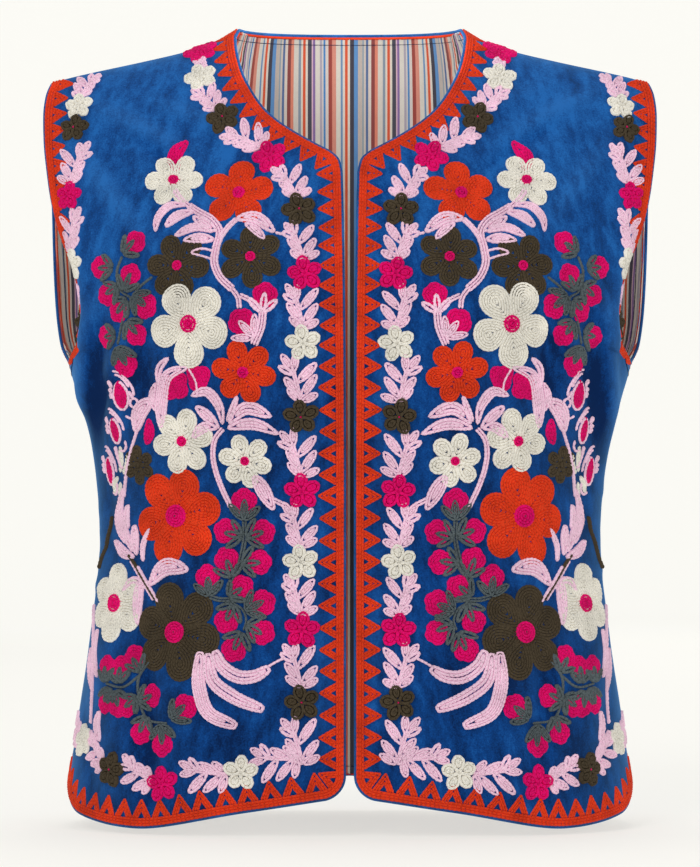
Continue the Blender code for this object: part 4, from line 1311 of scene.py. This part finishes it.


def yarn_material(name, colour):
    """Six-strand cotton in chain stitch: two plump strands side by side, with painted shade in the eye of
    each stitch and faint painted shade between the strands and between rows. The UV map counts stitches along
    and runs 0 to 1 across a row."""
    material, tree, shader = new_material(f"cotton yarn, {name}")
    eyes, fibres = DEEP_LOOK if sum(colour) / 3 < DEEP_DYE else PALE_LOOK
    place = add(tree, "TexCoord").outputs["Object"]
    way = add(tree, "SeparateXYZ", Vector=add(tree, "UVMap").outputs["UV"])
    part = add(tree, "Math", {"operation": "FRACT"}, _0=way.outputs["X"]).outputs[0]
    from_end = add(tree, "Math", {"operation": "PINGPONG"}, _0=part, _1=0.5).outputs[0]
    from_side = add(tree, "Math", {"operation": "PINGPONG"}, _0=way.outputs["Y"], _1=0.5).outputs[0]
    # The two strands part in the middle of a row; the eye is open halfway along a stitch. Painted shade lies
    # in the eye, in the parting and at the row's edges.
    open_eye = add(tree, "MapRange", Value=from_end, _1=0.26, _2=0.42, _3=0.0, _4=1.0).outputs[0]
    middle = add(tree, "MapRange", Value=from_side, _1=0.5, _2=0.33, _3=1.0, _4=0.0).outputs[0]
    side = add(tree, "MapRange", Value=from_side, _1=0.0, _2=0.12, _3=1.0, _4=0.0).outputs[0]
    eye = add(tree, "Math", {"operation": "MULTIPLY"}, _0=middle, _1=open_eye).outputs[0]
    # Eyes are more open here and less there, about a stitch apart.
    slack = add(tree, "TexNoise", Vector=place, Scale=260.0).outputs["Fac"]
    slack = add(tree, "MapRange", Value=slack, _1=eyes[0], _2=eyes[1], _3=eyes[2], _4=eyes[3]).outputs[0]
    shade = add(tree, "Math", {"operation": "MULTIPLY"}, _0=eye, _1=slack).outputs[0]
    for line, depth in ((middle, MIDDLE_LINE), (side, SIDE_LINE)):
        faint = add(tree, "Math", {"operation": "MULTIPLY"}, _0=line, _1=depth).outputs[0]
        shade = add(tree, "Math", {"operation": "MAXIMUM"}, _0=shade, _1=faint).outputs[0]
    # The dye is uneven over some 18 mm, and from fibre to fibre.
    uneven = add(tree, "TexNoise", Vector=place, Scale=55.0, Detail=3.0).outputs["Fac"]
    fibre = add(tree, "TexNoise", Vector=place, Scale=1100.0, Detail=3.0).outputs["Fac"]
    both = add(tree, "Mix", Factor=0.5, A=uneven, B=fibre).outputs["Result"]
    value = add(tree, "MapRange", Value=both, _1=0.3, _2=0.7, _3=fibres[0], _4=fibres[1]).outputs[0]
    dyed = add(tree, "HueSaturation", Value=value, Color=(*colour, 1)).outputs["Color"]
    # The painted shade: a darker copy of the dye, in the eyes and in the grooves.
    dark = tuple(EYE_SHADE * c for c in colour)
    mixed = add(tree, "Mix", {"data_type": "RGBA"}, Factor=shade, A=dyed, B=(*dark, 1)).outputs[2]
    tree.links.new(mixed, shader.inputs["Base Color"])
    # The strands stand up beside the middle, and their fibres give a fine grain.
    grain = add(tree, "Math", {"operation": "MULTIPLY"}, _0=fibre, _1=0.4).outputs[0]
    height = add(tree, "Math", {"operation": "SUBTRACT"}, _0=grain, _1=shade).outputs[0]
    bump = add(tree, "Bump", Strength=0.5, Distance=0.0004, Height=height)
    tree.links.new(bump.outputs["Normal"], shader.inputs["Normal"])
    shader.inputs["Roughness"].default_value = 0.75
    shader.inputs["Specular IOR Level"].default_value = 0.12
    return material


# Where each colour of the warp starts, as a share of the repeat.
STRIPES = (
    (0.0, "#1F2338"), (0.045, "#5F92C8"), (0.09, "#BDB3AA"), (0.142, "#8FA0AE"), (0.162, "#CFC4B8"),
    (0.187, "#4B6A9C"), (0.214, "#D8CFC4"), (0.248, "#85393A"), (0.291, "#DC8C78"), (0.326, "#D4CFC6"),
    (0.385, "#8393A4"), (0.417, "#DCD5C8"), (0.439, "#DD5B3C"), (0.47, "#DED8CC"), (0.5, "#2C3346"),
    (0.543, "#D9B9C9"), (0.561, "#8468A2"), (0.588, "#DAD6CC"), (0.641, "#A9A4B4"), (0.669, "#D8D2C8"),
    (0.686, "#4D89C6"), (0.708, "#D9D0C8"), (0.745, "#99423C"), (0.789, "#D99484"), (0.834, "#DAD6CB"),
    (0.887, "#6E93BC"), (0.912, "#DDD7CC"), (0.94, "#DE5E3E"), (0.97, "#DDD8CE"),
)
STRIPE_REPEAT = 0.063  # metres
THREADS = (("X", 0.0011), ("Y", 0.0013))  # drawn at about twice a thread's real spacing, in metres
FADED, FADING = "#A2958F", 0.13  # the grey that all the stripes are drawn towards, and how far


def lining_material():
    """Plain-woven cotton with a warp in many colours, matt and finely ribbed. The UV map gives metres
    across and up the cloth."""
    material, tree, shader = new_material("striped woven cotton")
    way = add(tree, "SeparateXYZ", Vector=add(tree, "UVMap").outputs["UV"])
    across = add(tree, "Math", {"operation": "DIVIDE"}, _0=way.outputs["X"], _1=STRIPE_REPEAT).outputs[0]
    across = add(tree, "Math", {"operation": "FRACT"}, _0=across).outputs[0]
    stripe = ramp(tree, across, [(at, linear(code)) for at, code in STRIPES], "CONSTANT")
    threads = []
    for axis, size in THREADS:
        turns = 2 * np.pi / size
        turns = add(tree, "Math", {"operation": "MULTIPLY"}, _0=way.outputs[axis], _1=turns).outputs[0]
        threads.append(add(tree, "Math", {"operation": "SINE"}, _0=turns).outputs[0])
    weave = add(tree, "Math", {"operation": "MULTIPLY"}, _0=threads[0], _1=threads[1]).outputs[0]
    # Thick places in the thread, drawn out along the warp.
    place = add(tree, "TexCoord").outputs["Object"]
    drawn = add(tree, "Mapping", Vector=place, Scale=(1.0, 1.0, 0.08)).outputs[0]
    slub = add(tree, "TexNoise", Vector=drawn, Scale=900.0, Detail=3.0).outputs["Fac"]
    grain = add(tree, "Mix", Factor=0.35, A=slub, B=weave).outputs["Result"]
    value = add(tree, "MapRange", Value=grain, _1=0.0, _2=0.8, _3=0.86, _4=1.08).outputs[0]
    dyed = add(tree, "HueSaturation", Saturation=1.1, Value=value, Color=stripe).outputs["Color"]
    grey = linear(FADED, True)
    faded = add(tree, "Mix", {"data_type": "RGBA"}, Factor=FADING, A=dyed, B=grey).outputs[2]
    tree.links.new(faded, shader.inputs["Base Color"])
    bump = add(tree, "Bump", Strength=0.4, Distance=0.0003, Height=grain)
    tree.links.new(bump.outputs["Normal"], shader.inputs["Normal"])
    shader.inputs["Roughness"].default_value = 0.88
    shader.inputs["Specular IOR Level"].default_value = 0.2
    shader.inputs["Sheen Weight"].default_value = 0.1
    return material


# ---------------------------------------------------------------------------- settings and operators

FORMS, MATERIALS = {}, {}


def form_of(side, hand):
    """The form of that half, which is worked out once."""
    if (side, hand) not in FORMS:
        FORMS[side, hand] = Form(side, hand)
    return FORMS[side, hand]


def material_of(key, make, *values):
    """The material kept under that key, which is made once."""
    if key not in MATERIALS:
        MATERIALS[key] = make(*values)
    return MATERIALS[key]


def dye_materials(look):
    """The yarn materials, in the order of DYES."""
    return [material_of(dye, yarn_material, dye, tuple(getattr(look, dye))) for dye in DYES]


def colour_property(name, code):
    """A colour setting, from an sRGB hex code."""
    return bpy.props.FloatVectorProperty(
        name=name, description=f"Colour of the {name.lower()}", subtype="COLOR", size=3, min=0, max=1,
        default=linear(code),
    )


class WaistcoatLook(bpy.types.PropertyGroup):
    """Colours and sizes that a user would change."""

    # The velvet's mottling runs between the first three colours, and its painted light and shade move it
    # towards the dark or the light one; the colour seen edge on is that of the painted sheen.
    velvet_dark: colour_property("Velvet in shade", "#0A234E")
    velvet_middle: colour_property("Velvet", "#0F3E7E")
    velvet_light: colour_property("Velvet brushed pale", "#1D5DA6")
    velvet_edge: colour_property("Velvet seen edge on", "#5C97D0")
    orange: colour_property("Orange yarn", "#DC3C18")
    magenta: colour_property("Magenta yarn", "#DC0068")
    pink: colour_property("Pale pink yarn", "#EFC8DE")
    cream: colour_property("Cream yarn", "#E5E1D7")
    brown: colour_property("Olive brown yarn", "#463C2D")
    grey: colour_property("Grey-green yarn", "#545E62")
    navy: colour_property("Navy yarn", "#1D2547")
    edge_radius: bpy.props.FloatProperty(
        name="Edge", description="Half thickness of the turned velvet edge", subtype="DISTANCE",
        unit="LENGTH", default=1.05 * MM, min=0.5 * MM, max=3 * MM,
    )
    floor_drop: bpy.props.FloatProperty(
        name="Floor drop", description="Distance from the lowest hem to the floor", subtype="DISTANCE",
        unit="LENGTH", default=4 * MM, min=0.0, max=0.5,
    )


HANDS = (("left", 1), ("right", -1))
# The columns and rows of each half of a panel, and how far it is drawn in from the open edges.
GRIDS = {
    "front": (94, 168), "back": (66, 128),
    "lining_front": (46, 90, LINING_INSET), "lining_back": (44, 80, LINING_INSET),
}


def half_panel(cut, hand):
    """The form and the grid of places of half a panel, for cloth_wall."""
    form = form_of(cut.removeprefix("lining_"), hand)
    return (form, *panel_grid(form, *GRIDS[cut]))


def declare(node):
    """Hide the imported part that the panel stands in for."""
    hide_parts(node)


class WAISTCOAT_OT_velvet(bpy.types.Operator):
    """Make the two velvet fronts and the velvet back, with their soft folds"""

    bl_idname = "waistcoat.velvet"
    bl_label = "Velvet panels"

    def execute(self, context):
        walls = (0.0, -VELVET_WALL, material_of("velvet", velvet_material, context.scene.waistcoat))
        for name, hand in HANDS:
            piece = cloth_wall(f"velvet_front_{name}", [half_panel("front", hand)], *walls)
            declare(f"front_{name}")
        back = cloth_wall("velvet_back", [half_panel("back", hand) for hand in (-1, 1)], *walls)
        declare("back")
        return {"FINISHED"}


class WAISTCOAT_OT_lining(bpy.types.Operator):
    """Make the striped cotton lining just inside the velvet"""

    bl_idname = "waistcoat.lining"
    bl_label = "Striped lining"

    def execute(self, context):
        outer, inner = -VELVET_WALL - LAYER_GAP, -VELVET_WALL - LAYER_GAP - LINING_WALL
        walls = (outer, inner, material_of("lining", lining_material))
        for name, hand in HANDS:
            piece = cloth_wall(f"lining_panel_front_{name}", [half_panel("lining_front", hand)], *walls)
            declare(f"lining_front_{name}")
        back = cloth_wall("lining_panel_back", [half_panel("lining_back", hand) for hand in (-1, 1)], *walls)
        declare("lining_back")
        return {"FINISHED"}


TUBE_POINTS, TUBE_END = 8, 0.02  # points round an edge, and the share of its radius at its ends
EDGE_IN = 0.75  # how far inside the cloth's edge the middle of a turned edge lies
EDGE_HIGH = 1.1  # its height as a share of its width
# Sewn rows on the lining: how far inside the edge, dye, width, height, lift and stitch length.
# The navy row stands for the stitching and also for the shade along the seam there: its dark is partly
# painted shade.
TOPSTITCHING = ((1.5, "orange", 1.7, 0.6, -0.3, STITCH), (7.5, "navy", 0.7, 0.5, 0.0, 4.0))


def tube(form, line, radius, depth):
    """A round edge of velvet that far inside a line of places: at each place a ring of points, in the
    plane across the line. The rings at its ends close to a point."""
    length, _ = form.run(*line)
    line = form.beside(line, length, np.full_like(length, depth))
    centre, out = form.place(*line, -VELVET_WALL / 2)
    ahead = np.gradient(centre, axis=0)
    ahead /= np.linalg.norm(ahead, axis=-1, keepdims=True)
    out = out - (out * ahead).sum(-1, keepdims=True) * ahead
    out /= np.linalg.norm(out, axis=-1, keepdims=True)
    across = np.cross(out, ahead)
    turn = np.linspace(0, 2 * np.pi, TUBE_POINTS, endpoint=False)
    ends = np.ones(len(centre))
    ends[[0, -1]] = TUBE_END
    wide = ends[:, None, None] * radius * np.cos(turn)[:, None] * across[:, None]
    high = ends[:, None, None] * (radius * EDGE_HIGH) * np.sin(turn)[:, None] * out[:, None]
    points = centre[:, None] + wide + high
    outward = (points - centre[:, None]).reshape(-1, 3)
    faces, _ = faced_out(points.reshape(-1, 3), ring_faces(*points.shape[:2]), outward)
    return points.reshape(-1, 3), faces


def turn_edges(look, form, name):
    """The folded velvet along the open edges of half a panel, and on the back in its seams too."""
    turned = [(line, look.edge_radius, EDGE_IN) for line in edges(form).values()]
    if form.side == "back":
        turned += [(line, SEAM_RADIUS, 0.0) for line in seams(form)]
    points, faces, first = [], [], 0
    for line, radius, depth in turned:
        every = np.unique(np.append(np.arange(0, len(line[0]), 2), len(line[0]) - 1))
        at, cells = tube(form, (line[0][every], line[1][every]), radius, depth)
        points.append(at)
        faces.append(cells + first)
        first += len(at)
    velvet = material_of("velvet edge", velvet_material, look, "turned velvet edge", TURNED_EDGE_GLOW)
    make_mesh(name, np.concatenate(points), np.concatenate(faces), [velvet])


def sew_topstitching(sewing):
    """Rows on the lining, inside each open edge."""
    inner = VELVET_WALL + LAYER_GAP + LINING_WALL
    for edge in edges(sewing.form).values():
        for depth, dye, width, tall, lift, stitch in TOPSTITCHING:
            line = inset_line(sewing.form, edge, depth)
            sewing.row(line, dye, width, inner + lift, tall=tall, stitch=stitch, side=-1)


# Seeds of the sewn pieces: each side has its own, and so has the back in the border and the garland.
BORDER_SEED, GARLAND_SEED, FLOWER_SEED, LEAF_SEED, BERRY_SEED, TOPSTITCHING_SEED = 10, 30, 50, 60, 70, 90
BACK_SEED_STEP = 5


def sewn_piece(look, form, name, seed, step):
    """A piece of embroidery, from one of the sewing steps."""
    sewing = Sewing(form, seed + form.hand)
    step(sewing)
    sewing.piece(name, dye_materials(look))


class WAISTCOAT_OT_edging(bpy.types.Operator):
    """Turn the velvet over every open edge, and stitch the lining down inside it"""

    bl_idname = "waistcoat.edging"
    bl_label = "Turned edges and topstitching"

    def execute(self, context):
        look = context.scene.waistcoat
        for side in ("front", "back"):
            for name, hand in HANDS:
                form = form_of(side, hand)
                turn_edges(look, form, f"turned_edge_{side}_{name}")
                sewn_piece(look, form, f"topstitching_{side}_{name}", TOPSTITCHING_SEED, sew_topstitching)
        return {"FINISHED"}


class WAISTCOAT_OT_border(bpy.types.Operator):
    """Work the orange band and its teeth beside every open edge"""

    bl_idname = "waistcoat.border"
    bl_label = "Border"

    def execute(self, context):
        look = context.scene.waistcoat
        for side, seed in (("front", BORDER_SEED), ("back", BORDER_SEED + BACK_SEED_STEP)):
            for name, hand in HANDS:
                sewn_piece(look, form_of(side, hand), f"border_{side}_{name}", seed, sew_border)
        return {"FINISHED"}


class WAISTCOAT_OT_garland(bpy.types.Operator):
    """Work the garland of small flowers and pink sprigs inside the border"""

    bl_idname = "waistcoat.garland"
    bl_label = "Garland"

    def execute(self, context):
        look = context.scene.waistcoat
        for side, seed, step in (
            ("front", GARLAND_SEED, sew_front_garlands),
            ("back", GARLAND_SEED + BACK_SEED_STEP, sew_back_garlands),
        ):
            for name, hand in HANDS:
                sewn_piece(look, form_of(side, hand), f"garland_{side}_{name}", seed, step)
        return {"FINISHED"}


class WAISTCOAT_OT_flowers(bpy.types.Operator):
    """Work the large flowers, leaves and berries of the fronts"""

    bl_idname = "waistcoat.flowers"
    bl_label = "Flowers, leaves and berries"

    def execute(self, context):
        look = context.scene.waistcoat
        for name, hand in HANDS:
            form = form_of("front", hand)
            sewn_piece(look, form, f"flowers_{name}", FLOWER_SEED, sew_flowers)
            sewn_piece(look, form, f"leaves_{name}", LEAF_SEED, sew_leaves)
            sewn_piece(look, form, f"berries_{name}", BERRY_SEED, sew_berries)
        return {"FINISHED"}


# ---------------------------------------------------------------------------- stage

CAMERA_PLACE, CAMERA_LENS, CAMERA_SENSOR, CAMERA_REACH = (0.0, -3.4, -0.293), 195.0, 36.0, 60.0
# The floor is a profile turned round the upright axis: flat, then curved up to a wall. Here are the radius
# and the height of its points, how many rings it has, and how many points a ring.
BOWL = ((0.0, 0.0), (5.5, 0.0), (7.2, 0.35), (8.4, 1.5), (9.0, 3.2), (9.0, 6.0))
BOWL_RINGS, BOWL_TURN = 60, 96
FLOOR_COLOUR, GLOW_COLOUR = "#A6A49F", "#FEFEFA"
GLOW_FROM, GLOW_TO, GLOW_NEAR, GLOW_FAR = 3.0, 4.8, 0.6, 0.727  # distances, and the glow at each
DAYLIGHT = 0.30
# Lamps: name, place, what they face, diameter and power. The inner light fills the neck from inside.
LAMPS = (
    ("key light", (-1.3, -2.5, 1.8), (0, 0, -0.2), 1.6, 29),
    ("fill light", (2.2, -2.8, 0.6), (0, 0, -0.2), 2.2, 17),
    ("top light", (0, 0.6, 2.6), (0, 0, -0.2), 1.6, 27),
    ("back light", (0.6, 3.4, 1.4), (0, 0, -0.3), 2.2, 24),
    ("inner light", (0, -0.05, -0.02), (0, 0.09, -0.035), 0.14, 0.13),
)


def area_light(name, place, target, size, power):
    """A round lamp that faces a target. The camera doesn't see it, as is usual for a lamp."""
    data = bpy.data.lights.new(name, "AREA")
    data.shape, data.size, data.energy = "DISK", size, power
    light = bpy.data.objects.new(name, data)
    bpy.context.scene.collection.objects.link(light)
    aim = np.array(target) - place
    light.location = place
    turn = np.arctan2(aim[1], aim[0]) - np.pi / 2
    light.rotation_euler = (np.arctan2(aim[2], np.hypot(aim[0], aim[1])) + np.pi / 2, 0, turn)


def floor_material():
    """Matt board that glows. Near the waistcoat it is lit more than at the wall, so there it glows less."""
    material, tree, shader = new_material("matt painted board")
    shader.inputs["Base Color"].default_value = linear(FLOOR_COLOUR, True)
    shader.inputs["Roughness"].default_value = 1.0
    shader.inputs["Specular IOR Level"].default_value = 0.0
    shader.inputs["Emission Color"].default_value = linear(GLOW_COLOUR, True)
    away = add(tree, "VectorMath", {"operation": "LENGTH"}, _0=add(tree, "TexCoord").outputs["Object"])
    away = away.outputs["Value"]
    glow = add(
        tree, "MapRange", SMOOTH_STEP, Value=away, _1=GLOW_FROM, _2=GLOW_TO, _3=GLOW_NEAR, _4=GLOW_FAR
    )
    tree.links.new(glow.outputs[0], shader.inputs["Emission Strength"])
    return material


def make_floor(scene, level):
    """The floor, which curves up all round."""
    profile = np.array(BOWL)
    even = np.linspace(0, len(profile) - 1, BOWL_RINGS)
    radius, height = (curve(even, np.arange(len(profile)), part)[:, None] for part in profile.T)
    turn = np.linspace(0, 2 * np.pi, BOWL_TURN, endpoint=False)
    points = np.stack([radius * np.cos(turn), radius * np.sin(turn), 0 * turn + height], axis=-1)
    points += (0, 0, level)
    mesh = bpy.data.meshes.new("floor")
    mesh.from_pydata(points.reshape(-1, 3).tolist(), [], ring_faces(*points.shape[:2]).tolist())
    mesh.shade_smooth()
    mesh.materials.append(floor_material())
    floor = bpy.data.objects.new("floor", mesh)
    scene.collection.objects.link(floor)


class WAISTCOAT_OT_stage(bpy.types.Operator):
    """Set up a pale floor that curves up all round, soft light and the camera"""

    bl_idname = "waistcoat.stage"
    bl_label = "Floor, light and camera"

    def execute(self, context):
        scene = context.scene
        make_floor(scene, CAD_BOX[0].z - scene.waistcoat.floor_drop)
        world = bpy.data.worlds.new("soft daylight")
        world.use_nodes = True
        world.node_tree.nodes["Background"].inputs["Color"].default_value = linear("#FFFFFF", True)
        world.node_tree.nodes["Background"].inputs["Strength"].default_value = DAYLIGHT
        scene.world = world
        for lamp in LAMPS:
            area_light(*lamp)
        camera = bpy.data.objects.new("camera", bpy.data.cameras.new("camera"))
        camera.data.lens, camera.data.sensor_width = CAMERA_LENS, CAMERA_SENSOR
        camera.data.clip_end = CAMERA_REACH
        camera.location = CAMERA_PLACE
        camera.rotation_euler = (np.pi / 2, 0, 0)
        scene.collection.objects.link(camera)
        scene.camera = camera
        scene.view_settings.view_transform = "Standard"
        return {"FINISHED"}


class WAISTCOAT_PT_panel(bpy.types.Panel):
    """Lists the waistcoat's colours, sizes and steps"""

    bl_label = "Embroidered waistcoat"
    bl_space_type = "VIEW_3D"
    bl_region_type = "UI"
    bl_category = "Waistcoat"

    def draw(self, context):
        for name in WaistcoatLook.__annotations__:
            self.layout.prop(context.scene.waistcoat, name)
        for step in STEPS:
            self.layout.operator(step.bl_idname)


STEPS = (
    WAISTCOAT_OT_velvet,
    WAISTCOAT_OT_lining,
    WAISTCOAT_OT_edging,
    WAISTCOAT_OT_border,
    WAISTCOAT_OT_garland,
    WAISTCOAT_OT_flowers,
    WAISTCOAT_OT_stage,
)
CLASSES = (WaistcoatLook, *STEPS, WAISTCOAT_PT_panel)


def register():
    """Register the settings, the steps and the panel."""
    for made in CLASSES:
        bpy.utils.register_class(made)
    bpy.types.Scene.waistcoat = bpy.props.PointerProperty(type=WaistcoatLook)


def unregister():
    """Take them out again."""
    del bpy.types.Scene.waistcoat
    for made in reversed(CLASSES):
        bpy.utils.unregister_class(made)


def main():
    """Run every step."""
    register()
    for step in STEPS:
        group, name = step.bl_idname.split(".")
        getattr(getattr(bpy.ops, group), name)()
    bpy.context.view_layer.update()


if __name__ == "__main__":
    main()
